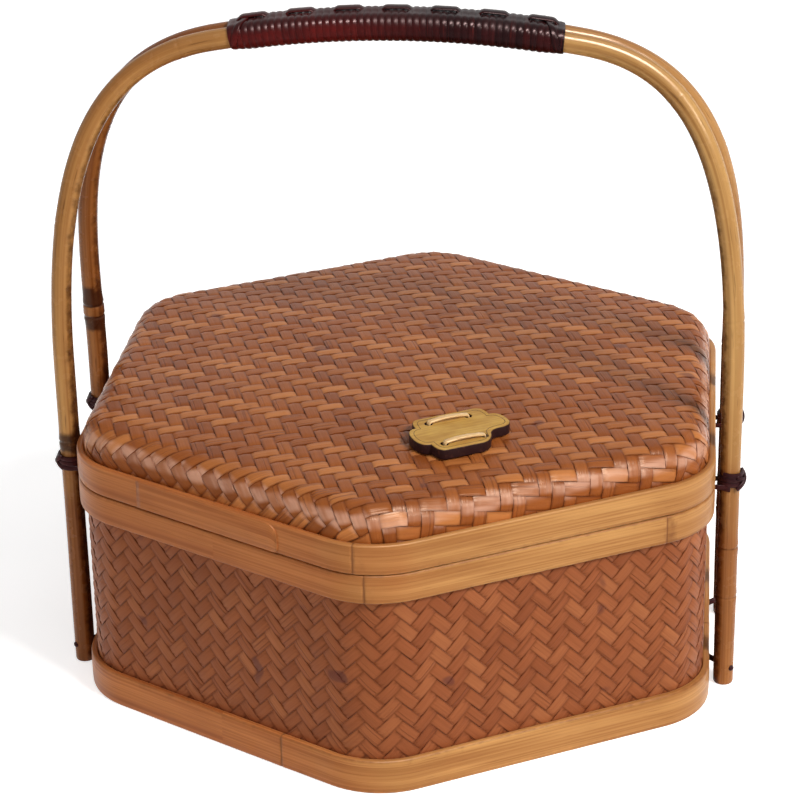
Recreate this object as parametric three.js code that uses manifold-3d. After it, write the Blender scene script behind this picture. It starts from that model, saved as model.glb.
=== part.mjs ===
// Hexagonal bamboo tea basket with a lift-off lid and a fixed double-pole handle.
// Millimetres, +Z up. The origin is the middle of the base, on the surface that the basket stands on.
// Two corners of the hexagon point to the front (-Y) and the back (+Y).
// The handle stands on the +X and -X flats.
import * as THREE from 'three';
import { mergeVertices } from 'three/addons/utils/BufferGeometryUtils.js';
import Module from 'manifold-3d';

// Body sizes
const HALF_WIDTH = 120; // middle to the outer face of a flat
const CORNER_RADIUS = 32; // outer face of the bands at a corner
const BODY_HEIGHT = 88.2; // floor to the seam under the lid
const BAND_THICKNESS = 2.4;
const WALL_THICKNESS = 1.6; // woven sheet of the wall, the lid and the base
const BASE_BAND_HEIGHT = 13.3;
const RIM_BAND_HEIGHT = 11;
const COLLAR_THICKNESS = 2;
const COLLAR_RISE = 8; // how far the collar stands above the seam, inside the lid
const COLLAR_DEPTH = 14; // how far it reaches down inside the wall
const BASE_LINER_HEIGHT = 9;
const SLAT_WIDTH = 12;
const SLAT_THICKNESS = 2.2;
const SLAT_CHAMFER = 0.7;
const SLAT_CLEARANCE = 0.9; // floor to the slats under the base panel
const SLAT_PITCH = 42;
const SLAT_COUNT = 3;

// Lid sizes
const LID_BAND_HEIGHT = 11.5;
const LID_EDGE_DROP = 1.5; // lid band top down to where the woven shoulder starts to turn in
const LID_SHOULDER_RISE = 12; // lid band top to where the shoulder has turned over
const LID_SHOULDER_REACH = 12; // how far in it turns over
const LID_CROWN = 3.5; // extra height in the middle of the lid

// Weave sizes, of which the solids have only the main ridges
const WEAVE_DEPTH = 0.45; // ridge to furrow
const WALL_STRIPS = 118; // strips that lean one way, all round the wall
const WALL_STRIP_CLIMB = 6.88; // up the wall, from one strip to the next
const WALL_V_HEIGHT = 52.2; // floor to the lower tip of one V
const WALL_V_SHIFT = 1.6; // that tip, along the front right flat from its middle to the right
const LID_STRIP_PITCH = 5.03; // middle of one strip to the middle of the next
const LID_WEAVE_TURN = (19 * Math.PI) / 180; // from the X axis to the strips that run across
const LID_RIDGE_PLACE = new THREE.Vector2(-4.6, -57.8); // one point on a ridge

// Plaque sizes
const PLAQUE_HALF_LENGTH = 19.3;
const PLAQUE_HALF_WIDTH = 13.2;
const PLAQUE_SIDE_HALF = 11.3; // half of the straight long side
const PLAQUE_NOTCH_X = 14.9; // the notch between a side lobe and an end lobe
const PLAQUE_NOTCH_Y = 7;
const PLAQUE_COVE_START = 2.8; // the front right corner is cut by a cove: where the side ends
const PLAQUE_COVE_BEND = 6.6; // pull of its first bend, along the side
const PLAQUE_COVE_X = 9; // its middle
const PLAQUE_COVE_Y = 7.1;
const PLAQUE_COVE_TURN = 10.9; // pull of its second bend, along the side
const PLAQUE_COVE_END_X = 13.7; // where it meets the end lobe
const PLAQUE_COVE_END_Y = 4.7;
const PLAQUE_THICKNESS = 4.1;
const PLAQUE_TURN = Math.PI / 6; // long side parallel to the front right flat
const PLAQUE_SET_BACK = 43.5; // front right flat of the bands to the middle of the plaque
const PLAQUE_SHIFT = -12.8; // along that flat, from its middle to the right
const STITCH_SPAN = 15.8; // from hole to hole
const STITCH_INSET = 4.8; // long edge of the plaque to a row of holes
const FRONT_STITCH_SHIFT = -2.3; // middle of the plaque to the middle of the front stitch
const BACK_STITCH_SHIFT = -1;
const STITCH_WIDTH = 2.2;
const STITCH_THICKNESS = 0.9;

// Handle sizes
const POLE_RADIUS = 4;
const FRONT_LEG_Y = -42;
const BACK_LEG_Y = 14;
const GRIP_Y = -13;
const ARCH_RISE = 152; // lid band top to the pole's centre line in the middle of the grip
const GRIP_HALF_LENGTH = 68; // straightish stretch that the winding covers, half of it
const GRIP_SAG = 6; // drop of the centre line from the middle of the grip to its end
const FRONT_BEND_START = 35; // lid band top to where the front pole's straight leg ends
const FRONT_BEND_UP = 82; // pull of its bend towards the leg's direction
const FRONT_BEND_IN = 40; // pull of its bend towards the grip's direction
const BACK_BEND_START = 5;
const BACK_BEND_UP = 52;
const BACK_BEND_IN = 64;
const GRIP_LOOPS = 20;
const GRIP_LOOP_GAP = 0.8;
const GRIP_STRAP_THICKNESS = 1.3;
const GRIP_END_MARGIN = 6.5; // from the end of the grip stretch to the winding
const LASHING_TURNS = 2; // whole turns beside the part turn that ends behind the leg
const LASHING_DROP = 1.4; // from the top edge of the body down to the middle of the lashing
const LASHING_LOOP_GAP = 0.6;
const LASHING_WIDTH = 1.9;
const LASHING_THICKNESS = 1;
const PIN_RADIUS = 1.1;
const PIN_HEIGHT = 7.2;
const PIN_SLANT = Math.PI / 4; // away from square to the flat
const PIN_PROUD = 0.6; // how far the head stands out of the leg
const PIN_BITE = 1.2; // how deep it goes into the base band

// Fits and facets
const GAP = 0.3; // between pieces that touch
const COLLAR_CLEARANCE = 0.5; // between the collar and the lid or wall round it
const CORNER_STEPS = 3; // half the straight pieces of one corner arc
const POLE_SIDES = 10;
const POLE_STEPS = 60;
const PIN_SIDES = 10;
const LOOP_STEPS = 24;
const STRAP_SIDES = 6;
const LASHING_STEPS = 16;
const SHOULDER_STEPS = 4;
const INSIDE_STEPS = 3;
const INSIDE_EYE = 0.1; // share of the crown's width that is left flat in the middle, inside
const CROWN_PIECE = 28; // about one straight piece of a ridge over the crown
const PLAQUE_CURVE_STEPS = 5;
const STITCH_BEND_STEPS = 4;
const SAME_POINT = 1e-4; // points closer than this are one

// Places that follow from the sizes
const WALL_OUTER = HALF_WIDTH - BAND_THICKNESS - GAP;
const WALL_INNER = WALL_OUTER - WALL_THICKNESS;
const HALF_RUN = (HALF_WIDTH - CORNER_RADIUS) * Math.tan(Math.PI / 6); // half of a flat's straight run
const COLLAR_OUTER = WALL_INNER - COLLAR_CLEARANCE;
const LEG_X = HALF_WIDTH + GAP + LASHING_THICKNESS + GAP + POLE_RADIUS;
const LID_BASE = BODY_HEIGHT + GAP;
const LID_BAND_TOP = LID_BASE + LID_BAND_HEIGHT;
const LID_SHOULDER_TOP = LID_BAND_TOP + LID_SHOULDER_RISE;
const LID_CROWN_REACH = WALL_OUTER - LID_SHOULDER_REACH;
const RIDGE_TURN = LID_WEAVE_TURN - Math.PI / 4; // the ridges run aslant to the strips
const RIDGE_ALONG = new THREE.Vector2(Math.cos(RIDGE_TURN), Math.sin(RIDGE_TURN));
const RIDGE_ACROSS = new THREE.Vector2(-Math.sin(RIDGE_TURN), Math.cos(RIDGE_TURN));
const RIDGE_TO_FURROW = LID_STRIP_PITCH * Math.SQRT2; // two strips over, seen aslant
const SLAT_TOP = SLAT_CLEARANCE + SLAT_THICKNESS;
const PANEL_BASE = SLAT_TOP + GAP;
const PANEL_TOP = PANEL_BASE + WALL_THICKNESS;
const STITCH_ROW = PLAQUE_HALF_WIDTH - STITCH_INSET;
const PLAQUE_OUTWARD = new THREE.Vector2(Math.sin(PLAQUE_TURN), -Math.cos(PLAQUE_TURN));
const PLAQUE_ALONG = new THREE.Vector2(Math.cos(PLAQUE_TURN), Math.sin(PLAQUE_TURN));
const PLAQUE_PLACE = new THREE.Vector2()
  .addScaledVector(PLAQUE_OUTWARD, HALF_WIDTH - PLAQUE_SET_BACK)
  .addScaledVector(PLAQUE_ALONG, PLAQUE_SHIFT);
const ARCH_HEIGHT = LID_BAND_TOP + ARCH_RISE;
const GRIP_ARC_RADIUS = (GRIP_HALF_LENGTH ** 2 + GRIP_SAG ** 2) / (2 * GRIP_SAG);
const POLE_SPREAD = POLE_RADIUS + GAP / 2; // grip middle to a pole's centre line

const BAMBOO = { color: 0xb9814a, roughness: 0.45, metalness: 0 };
const WOVEN = { color: 0x93583a, roughness: 0.6, metalness: 0 };
const DARK_CANE = { color: 0x3d1517, roughness: 0.3, metalness: 0 };
const PLAQUE_WOOD = { color: 0xc79a4d, roughness: 0.5, metalness: 0 };
const GOLD_CANE = { color: 0xd9ab5a, roughness: 0.35, metalness: 0 };

const wasm = await Module();
wasm.setup();

// Geometry helpers

function toSolid(geometry) {
  const bare = geometry.clone();
  bare.deleteAttribute('normal');
  bare.deleteAttribute('uv');
  const merged = mergeVertices(bare, SAME_POINT);
  const mesh = new wasm.Mesh({
    numProp: 3,
    vertProperties: new Float32Array(merged.attributes.position.array),
    triVerts: new Uint32Array(merged.index.array),
  });
  return new wasm.Manifold(mesh);
}

function toGeometry(solid) {
  const mesh = solid.getMesh();
  const geometry = new THREE.BufferGeometry();
  geometry.setAttribute('position', new THREE.BufferAttribute(new Float32Array(mesh.vertProperties), 3));
  geometry.setIndex(new THREE.BufferAttribute(new Uint32Array(mesh.triVerts), 1));
  geometry.computeVertexNormals();
  return geometry;
}

function cutAll(geometry, cutters) {
  let solid = toSolid(geometry);
  for (const cutter of cutters) {
    solid = solid.subtract(toSolid(cutter));
  }
  return toGeometry(solid);
}

// A hexagon with round corners, its flats at halfFlat from the middle
function hexagon(Kind, halfFlat) {
  const outline = new Kind();
  const radius = CORNER_RADIUS - (HALF_WIDTH - halfFlat);
  const reach = (halfFlat - radius) / Math.cos(Math.PI / 6);
  for (let corner = 0; corner < 6; corner += 1) {
    const angle = Math.PI / 6 + (corner * Math.PI) / 3;
    const x = reach * Math.cos(angle);
    const y = reach * Math.sin(angle);
    outline.absarc(x, y, radius, angle - Math.PI / 6, angle + Math.PI / 6, false);
  }
  outline.closePath();
  return outline;
}

function hexPlate(halfFlat, bottom, top) {
  const shape = hexagon(THREE.Shape, halfFlat);
  const options = { depth: top - bottom, bevelEnabled: false, curveSegments: CORNER_STEPS };
  return new THREE.ExtrudeGeometry(shape, options).translate(0, 0, bottom);
}

function hexRing(outer, inner, bottom, top) {
  const shape = hexagon(THREE.Shape, outer);
  shape.holes.push(hexagon(THREE.Path, inner));
  const options = { depth: top - bottom, bevelEnabled: false, curveSegments: CORNER_STEPS };
  return new THREE.ExtrudeGeometry(shape, options).translate(0, 0, bottom);
}

// A closed skin through rings of points, with a flat cap on the first ring and the last
function skin(rings) {
  const count = rings[0].length;
  const last = (rings.length - 1) * count;
  const positions = rings.flat().flatMap((point) => point.toArray());
  const faces = [];
  for (let here = 0; here < last; here += count) {
    const next = here + count;
    for (let side = 0; side < count; side += 1) {
      const after = (side + 1) % count;
      faces.push(here + side, here + after, next + after);
      faces.push(here + side, next + after, next + side);
    }
  }
  for (let side = 1; side < count - 1; side += 1) {
    faces.push(0, side + 1, side);
    faces.push(last, last + side, last + side + 1);
  }
  const geometry = new THREE.BufferGeometry();
  geometry.setAttribute('position', new THREE.Float32BufferAttribute(positions, 3));
  geometry.setIndex(faces);
  return geometry;
}

// A strap: each station has its centre, the direction of its thickness and the direction of its width
function strap(stations, width, thickness) {
  const rings = stations.map(({ centre, out, across }) => {
    const ring = [];
    for (let side = 0; side < STRAP_SIDES; side += 1) {
      const angle = (side * 2 * Math.PI) / STRAP_SIDES;
      const point = centre.clone();
      point.addScaledVector(out, (thickness / 2) * (Math.sin(angle) / Math.sin(Math.PI / 3)));
      point.addScaledVector(across, (width / 2) * Math.cos(angle));
      ring.push(point);
    }
    return ring;
  });
  return { geometry: facingOut(skin(rings)), rings };
}

// Turns a closed geometry the right way round by its signed volume
function facingOut(geometry) {
  const index = geometry.index.array;
  const position = geometry.attributes.position;
  const a = new THREE.Vector3();
  const b = new THREE.Vector3();
  const c = new THREE.Vector3();
  let volume = 0;
  for (let face = 0; face < index.length; face += 3) {
    a.fromBufferAttribute(position, index[face]);
    b.fromBufferAttribute(position, index[face + 1]);
    c.fromBufferAttribute(position, index[face + 2]);
    volume += a.dot(b.cross(c));
  }
  if (volume < 0) {
    for (let face = 0; face < index.length; face += 3) {
      const keep = index[face + 1];
      index[face + 1] = index[face + 2];
      index[face + 2] = keep;
    }
  }
  geometry.computeVertexNormals();
  return geometry;
}

// Least distance between the strap's surface points more than half a loop apart along it
function leastGap(rings, loopSteps) {
  let least = Infinity;
  for (let near = 0; near < rings.length; near += 1) {
    for (let far = near + Math.ceil(loopSteps / 2); far < rings.length; far += 1) {
      if (far - near > loopSteps * 1.5) {
        break;
      }
      for (const point of rings[near]) {
        for (const other of rings[far]) {
          least = Math.min(least, point.distanceTo(other));
        }
      }
    }
  }
  return least;
}

// Woven body and its bands

function makeBaseSlat(number) {
  const y = (number - (SLAT_COUNT - 1) / 2) * SLAT_PITCH;
  const length = 2 * (WALL_INNER - GAP);
  const half = SLAT_WIDTH / 2;
  const section = new THREE.Shape();
  section.moveTo(-half, 0);
  section.lineTo(half, 0);
  section.lineTo(half, -SLAT_THICKNESS + SLAT_CHAMFER);
  section.lineTo(half - SLAT_CHAMFER, -SLAT_THICKNESS);
  section.lineTo(-half + SLAT_CHAMFER, -SLAT_THICKNESS);
  section.lineTo(-half, -SLAT_THICKNESS + SLAT_CHAMFER);
  section.closePath();
  const geometry = new THREE.ExtrudeGeometry(section, { depth: length, bevelEnabled: false });
  geometry.rotateX(Math.PI / 2).rotateZ(Math.PI / 2);
  return geometry.translate(-length / 2, y, SLAT_TOP);
}

// One ring of the wall's outer face, with a corner of the weave's zigzag at each strip
function wallRing(halfFlat, height, swing) {
  const outline = hexagon(THREE.Shape, halfFlat);
  const start = 5 / 6 + (WALL_V_SHIFT - HALF_RUN) / outline.getLength();
  const ring = [];
  for (let strip = 0; strip < WALL_STRIPS; strip += 1) {
    const place = outline.getPoint((start + strip / WALL_STRIPS) % 1);
    const rise = strip % 2 === 0 ? -swing : swing;
    ring.push(new THREE.Vector3(place.x, place.y, height + rise));
  }
  return ring;
}

// The woven wall, whose ridges and furrows run round it in the zigzag of the herringbone
function makeBodyWall() {
  const rimBase = BODY_HEIGHT - RIM_BAND_HEIGHT;
  const lowest = Math.floor((BASE_BAND_HEIGHT - WALL_V_HEIGHT) / WALL_STRIP_CLIMB);
  const highest = Math.floor((rimBase - WALL_V_HEIGHT) / WALL_STRIP_CLIMB);
  const rings = [wallRing(WALL_OUTER, GAP, 0)];
  for (let row = lowest; row <= highest; row += 1) {
    const depth = row % 2 === 0 ? 0 : WEAVE_DEPTH;
    const middle = WALL_V_HEIGHT + (row + 0.5) * WALL_STRIP_CLIMB;
    rings.push(wallRing(WALL_OUTER - depth, middle, WALL_STRIP_CLIMB / 2));
  }
  rings.push(wallRing(WALL_OUTER, BODY_HEIGHT, 0));
  return cutAll(facingOut(skin(rings)), [hexPlate(WALL_INNER, 0, BODY_HEIGHT + GAP)]);
}

// Domed lid

function hexagonPoints(halfFlat, height) {
  const points = hexagon(THREE.Shape, halfFlat).getPoints(CORNER_STEPS);
  if (points[0].distanceTo(points[points.length - 1]) < SAME_POINT) {
    points.pop();
  }
  return points.map((point) => new THREE.Vector3(point.x, point.y, height));
}

// Rings of the lid's sheet from its lower edge to the end of the shoulder, drawn in by inset
function shoulderRings(inset, bottom, steps) {
  const halfFlat = WALL_OUTER - inset;
  const rings = [hexagonPoints(halfFlat, bottom)];
  const top = LID_SHOULDER_TOP - inset;
  const start = LID_BAND_TOP - LID_EDGE_DROP;
  for (let step = 0; step <= steps; step += 1) {
    const angle = (step / steps) * (Math.PI / 2);
    const inward = (LID_SHOULDER_REACH - inset) * (1 - Math.cos(angle));
    rings.push(hexagonPoints(halfFlat - inward, start + (top - start) * Math.sin(angle)));
  }
  return rings;
}

// The hollow of the lid, with a smooth crown
function makeLidHollow() {
  const rings = shoulderRings(WALL_THICKNESS, LID_BASE - GAP, INSIDE_STEPS);
  const edge = rings[rings.length - 1];
  for (let step = 1; step <= INSIDE_STEPS; step += 1) {
    const share = 1 - ((1 - INSIDE_EYE) * step) / INSIDE_STEPS;
    const rise = LID_CROWN * (1 - share ** 2);
    rings.push(edge.map(({ x, y, z }) => new THREE.Vector3(x * share, y * share, z + rise)));
  }
  return facingOut(skin(rings));
}

// Height of the lid's ridges over a place inside the shoulder
function lidHeightAt(place) {
  let furthest = 0;
  for (let flat = 0; flat < 6; flat += 1) {
    const angle = (flat * Math.PI) / 3;
    furthest = Math.max(furthest, place.x * Math.cos(angle) + place.y * Math.sin(angle));
  }
  const share = furthest / LID_CROWN_REACH;
  return LID_SHOULDER_TOP + LID_CROWN * (1 - share ** 2);
}

// Which ridge or furrow a place is on: even numbers are ridges and odd ones are furrows
function ridgeNumber(place) {
  return (RIDGE_ACROSS.dot(place) - RIDGE_ACROSS.dot(LID_RIDGE_PLACE)) / RIDGE_TO_FURROW;
}

// Share of the weave's depth at a place: 0 on a ridge and 1 in a furrow
function furrowShare(place) {
  const number = ridgeNumber(place);
  return Math.abs(number - 2 * Math.round(number / 2));
}

// The crown's outline with a point wherever a ridge or a furrow meets it
function crownRim(edge) {
  const rim = [];
  edge.forEach((point, segment) => {
    const next = edge[(segment + 1) % edge.length];
    const from = ridgeNumber(point);
    const to = ridgeNumber(next);
    const step = Math.sign(to - from);
    rim.push({ segment, share: 0, line: null });
    let line = step > 0 ? Math.ceil(from) : Math.floor(from);
    while ((to - line) * step > 0) {
      rim.push({ segment, share: (line - from) / (to - from), line });
      line += step;
    }
  });
  return rim;
}

function pointOnRing(ring, { segment, share }) {
  return ring[segment].clone().lerp(ring[(segment + 1) % ring.length], share);
}

// Triangles between two rows of points that run the same way, the first row on the right.
// The rows may start or end at the same point.
function zip(points, right, left, faces) {
  const reach = (index) => RIDGE_ALONG.dot(points[index]);
  const addFace = (...corners) => {
    if (new Set(corners).size === 3) {
      faces.push(corners);
    }
  };
  let here = 0;
  let there = 0;
  while (here < right.length - 1 || there < left.length - 1) {
    const ahead = here < right.length - 1 ? reach(right[here + 1]) : Infinity;
    const beside = there < left.length - 1 ? reach(left[there + 1]) : Infinity;
    if (ahead < beside) {
      addFace(right[here], right[here + 1], left[there]);
      here += 1;
    } else {
      addFace(right[here], left[there + 1], left[there]);
      there += 1;
    }
  }
}

// The rim's point numbers from one to another, the way it runs
function rimStretch(count, from, to) {
  const stretch = [from];
  while (stretch[stretch.length - 1] !== to) {
    stretch.push((stretch[stretch.length - 1] + 1) % count);
  }
  return stretch;
}

// Where each ridge or furrow meets the rim: pairs of point numbers, in the order of the lines
function ridgeEnds(rim, points, first) {
  const reach = (index) => RIDGE_ALONG.dot(points[index]);
  const ends = new Map();
  rim.forEach(({ line }, index) => {
    if (line !== null) {
      const pair = [...(ends.get(line) ?? []), first + index];
      ends.set(line, pair.sort((a, b) => reach(a) - reach(b)));
    }
  });
  const lines = [...ends.keys()].sort((a, b) => a - b);
  return lines.map((line) => ends.get(line));
}

// Adds one line's inner points to the points, and returns the numbers of all that are on it
function crownRow(points, start, end) {
  const length = points[start].distanceTo(points[end]);
  const pieces = Math.max(1, Math.round(length / CROWN_PIECE));
  const row = [start];
  for (let piece = 1; piece < pieces; piece += 1) {
    const point = points[start].clone().lerp(points[end], piece / pieces);
    point.z = lidHeightAt(point) - WEAVE_DEPTH * furrowShare(point);
    row.push(points.length);
    points.push(point);
  }
  return [...row, end];
}

// Faces between two neighbouring lines and the rim at their ends
function addStripe(points, right, left, before, after, faces) {
  for (let index = 1; index < before.length - 1; index += 1) {
    faces.push([right[0], before[index + 1], before[index]]);
  }
  zip(points, right, left, faces);
  for (let index = 0; index < after.length - 2; index += 1) {
    faces.push([after[index], after[index + 1], after[after.length - 1]]);
  }
}

// Faces of the whole crown, whose rim starts at the point number first
function crownFaces(rim, points, first) {
  const rows = ridgeEnds(rim, points, first).map(([start, end]) => crownRow(points, start, end));
  const stretch = (from, to) => rimStretch(rim.length, from - first, to - first).map((index) => first + index);
  const lowest = rows[0];
  const highest = rows[rows.length - 1];
  const faces = [];
  zip(points, stretch(lowest[0], lowest[lowest.length - 1]), lowest, faces);
  for (let stripe = 1; stripe < rows.length; stripe += 1) {
    const right = rows[stripe - 1];
    const left = rows[stripe];
    const before = stretch(left[0], right[0]).reverse();
    const after = stretch(right[right.length - 1], left[left.length - 1]);
    addStripe(points, right, left, before, after, faces);
  }
  zip(points, highest, stretch(highest[highest.length - 1], highest[0]).reverse(), faces);
  return faces;
}

// The outer skin of the lid: its ridges fade out down the shoulder
function makeLidOutside() {
  const ridges = shoulderRings(0, LID_BASE, SHOULDER_STEPS);
  const furrows = shoulderRings(WEAVE_DEPTH, LID_BASE, SHOULDER_STEPS);
  const edge = ridges[ridges.length - 1];
  const rim = crownRim(edge);
  const count = rim.length;
  const points = [];
  const faces = [];
  ridges.forEach((ring, level) => {
    const strength = Math.max(0, level - 1) / SHOULDER_STEPS;
    for (const spot of rim) {
      const share = strength * furrowShare(pointOnRing(edge, spot));
      points.push(pointOnRing(ring, spot).lerp(pointOnRing(furrows[level], spot), share));
    }
  });
  const last = points.length - count;
  for (let here = 0; here < last; here += count) {
    for (let side = 0; side < count; side += 1) {
      const after = (side + 1) % count;
      faces.push([here + side, here + after, here + count + after]);
      faces.push([here + side, here + count + after, here + count + side]);
    }
  }
  for (let side = 1; side < count - 1; side += 1) {
    faces.push([0, side + 1, side]);
  }
  faces.push(...crownFaces(rim, points, last));
  const positions = points.flatMap((point) => point.toArray());
  const geometry = new THREE.BufferGeometry();
  geometry.setAttribute('position', new THREE.Float32BufferAttribute(positions, 3));
  geometry.setIndex(faces.flat());
  return facingOut(geometry);
}

function makeLidShell() {
  return cutAll(makeLidOutside(), [makeLidHollow()]);
}

// Plaque with a scalloped outline, blank, held by two flat cane stitches

function plaqueOutline() {
  const long = PLAQUE_HALF_LENGTH;
  const wide = PLAQUE_HALF_WIDTH;
  const outline = new THREE.Shape();
  outline.moveTo(PLAQUE_COVE_START, -wide);
  outline.quadraticCurveTo(PLAQUE_COVE_BEND, -wide, PLAQUE_COVE_X, -PLAQUE_COVE_Y);
  outline.quadraticCurveTo(PLAQUE_COVE_TURN, -PLAQUE_COVE_END_Y, PLAQUE_COVE_END_X, -PLAQUE_COVE_END_Y);
  outline.quadraticCurveTo(long, -PLAQUE_COVE_END_Y, long, 0);
  outline.quadraticCurveTo(long, PLAQUE_NOTCH_Y, PLAQUE_NOTCH_X, PLAQUE_NOTCH_Y);
  outline.quadraticCurveTo(PLAQUE_NOTCH_X, wide, PLAQUE_SIDE_HALF, wide);
  outline.lineTo(-PLAQUE_SIDE_HALF, wide);
  outline.quadraticCurveTo(-PLAQUE_NOTCH_X, wide, -PLAQUE_NOTCH_X, PLAQUE_NOTCH_Y);
  outline.quadraticCurveTo(-long, PLAQUE_NOTCH_Y, -long, 0);
  outline.quadraticCurveTo(-long, -PLAQUE_NOTCH_Y, -PLAQUE_NOTCH_X, -PLAQUE_NOTCH_Y);
  outline.quadraticCurveTo(-PLAQUE_NOTCH_X, -wide, -PLAQUE_SIDE_HALF, -wide);
  outline.closePath();
  return outline;
}

// Lays a piece made flat at the origin on the lid's crown, tilted as the crown falls to the nearest flat
function placeOnLid(geometry) {
  const outer = PLAQUE_PLACE.clone().addScaledVector(PLAQUE_OUTWARD, PLAQUE_HALF_WIDTH);
  const inner = PLAQUE_PLACE.clone().addScaledVector(PLAQUE_OUTWARD, -PLAQUE_HALF_WIDTH);
  const tilt = Math.atan2(lidHeightAt(inner) - lidHeightAt(outer), 2 * PLAQUE_HALF_WIDTH);
  const height = lidHeightAt(PLAQUE_PLACE) + GAP;
  return geometry.rotateX(tilt).rotateZ(PLAQUE_TURN).translate(PLAQUE_PLACE.x, PLAQUE_PLACE.y, height);
}

function makePlaque() {
  const outline = plaqueOutline();
  const halfHole = STITCH_WIDTH / 2 + GAP;
  for (const [shift, row] of [[FRONT_STITCH_SHIFT, -STITCH_ROW], [BACK_STITCH_SHIFT, STITCH_ROW]]) {
    for (const end of [-STITCH_SPAN / 2, STITCH_SPAN / 2]) {
      const hole = new THREE.Path();
      hole.absarc(shift + end, row, halfHole, 0, 2 * Math.PI, true);
      outline.holes.push(hole);
    }
  }
  const options = { depth: PLAQUE_THICKNESS, bevelEnabled: false, curveSegments: PLAQUE_CURVE_STEPS };
  return placeOnLid(new THREE.ExtrudeGeometry(outline, options));
}

function makeStitch(shift, row) {
  const flat = PLAQUE_THICKNESS + GAP + STITCH_THICKNESS / 2;
  const half = STITCH_SPAN / 2;
  const bend = STITCH_THICKNESS;
  const path = new THREE.CurvePath();
  const points = [
    [-half, 0],
    [-half, flat - bend],
    [-half + bend, flat],
    [half - bend, flat],
    [half, flat - bend],
    [half, 0],
  ].map(([x, z]) => new THREE.Vector3(x, row, z));
  path.add(new THREE.LineCurve3(points[0], points[1]));
  path.add(new THREE.QuadraticBezierCurve3(points[1], new THREE.Vector3(-half, row, flat), points[2]));
  path.add(new THREE.LineCurve3(points[2], points[3]));
  path.add(new THREE.QuadraticBezierCurve3(points[3], new THREE.Vector3(half, row, flat), points[4]));
  path.add(new THREE.LineCurve3(points[4], points[5]));
  const across = new THREE.Vector3(0, 1, 0);
  const stations = path.getPoints(STITCH_BEND_STEPS).map((centre, place, all) => {
    const ahead = all[Math.min(place + 1, all.length - 1)];
    const behind = all[Math.max(place - 1, 0)];
    const along = ahead.clone().sub(behind).normalize();
    return { centre, across, out: along.cross(across) };
  });
  return placeOnLid(strap(stations, STITCH_WIDTH, STITCH_THICKNESS).geometry.translate(shift, 0, 0));
}

// Handle

function archCurve(legY, gripY, bend) {
  const endAngle = Math.asin(GRIP_HALF_LENGTH / GRIP_ARC_RADIUS);
  const gripEnd = new THREE.Vector3(GRIP_HALF_LENGTH, gripY, ARCH_HEIGHT - GRIP_SAG);
  const outward = new THREE.Vector3(Math.cos(endAngle), 0, -Math.sin(endAngle));
  const half = [
    new THREE.Vector3(LEG_X, legY, 0),
    new THREE.Vector3(LEG_X, legY, LID_BAND_TOP + bend.start),
    new THREE.Vector3(LEG_X, legY, LID_BAND_TOP + bend.start + bend.up),
    gripEnd.clone().addScaledVector(outward, bend.inward),
    gripEnd,
  ];
  const mirrored = half.map((point) => new THREE.Vector3(-point.x, point.y, point.z));
  const crown = new THREE.Vector3(0, gripY, ARCH_HEIGHT + GRIP_SAG);
  const path = new THREE.CurvePath();
  path.add(new THREE.LineCurve3(mirrored[0], mirrored[1]));
  path.add(new THREE.CubicBezierCurve3(mirrored[1], mirrored[2], mirrored[3], mirrored[4]));
  path.add(new THREE.QuadraticBezierCurve3(mirrored[4], crown, half[4]));
  path.add(new THREE.CubicBezierCurve3(half[4], half[3], half[2], half[1]));
  path.add(new THREE.LineCurve3(half[1], half[0]));
  return path;
}

function pinDirection(side, legY) {
  const forward = legY < GRIP_Y ? 1 : -1;
  return new THREE.Vector3(-side * Math.cos(PIN_SLANT), forward * Math.sin(PIN_SLANT), 0);
}

// A pin, or the bore for it when room is more than zero
function makePin(side, legY, room) {
  const inward = pinDirection(side, legY);
  const outside = POLE_RADIUS + PIN_PROUD + room;
  const inside = (LEG_X - HALF_WIDTH + PIN_BITE) / Math.cos(PIN_SLANT) + room;
  const rod = new THREE.CylinderGeometry(PIN_RADIUS + room, PIN_RADIUS + room, outside + inside, PIN_SIDES);
  const turn = new THREE.Quaternion().setFromUnitVectors(new THREE.Vector3(0, 1, 0), inward);
  rod.applyQuaternion(turn);
  const middle = new THREE.Vector3(side * LEG_X, legY, PIN_HEIGHT);
  middle.addScaledVector(inward, (inside - outside) / 2);
  return rod.translate(middle.x, middle.y, middle.z);
}

function makePole(legY, gripY, bend) {
  const section = new THREE.Shape().absarc(0, 0, POLE_RADIUS, 0, 2 * Math.PI, false);
  const pole = new THREE.ExtrudeGeometry(section, {
    steps: POLE_STEPS,
    curveSegments: POLE_SIDES / 2,
    extrudePath: archCurve(legY, gripY, bend),
  });
  return cutAll(pole, [makePin(-1, legY, GAP), makePin(1, legY, GAP)]);
}

// Point on the stretched ring that the grip strap follows, measured round it from the underside
function gripRing(travel, radius) {
  const arc = Math.PI * radius;
  const flat = 2 * POLE_SPREAD;
  const round = 2 * arc + 2 * flat;
  let rest = ((travel % round) + round) % round;
  if (rest < POLE_SPREAD) {
    return { y: rest, z: -radius, outY: 0, outZ: -1 };
  }
  rest -= POLE_SPREAD;
  if (rest < arc) {
    const angle = rest / radius - Math.PI / 2;
    const outY = Math.cos(angle);
    const outZ = Math.sin(angle);
    return { y: POLE_SPREAD + radius * outY, z: radius * outZ, outY, outZ };
  }
  rest -= arc;
  if (rest < flat) {
    return { y: POLE_SPREAD - rest, z: radius, outY: 0, outZ: 1 };
  }
  rest -= flat;
  if (rest < arc) {
    const angle = Math.PI / 2 + rest / radius;
    const outY = Math.cos(angle);
    const outZ = Math.sin(angle);
    return { y: -POLE_SPREAD + radius * outY, z: radius * outZ, outY, outZ };
  }
  rest -= arc;
  return { y: -POLE_SPREAD + rest, z: -radius, outY: 0, outZ: -1 };
}

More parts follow.
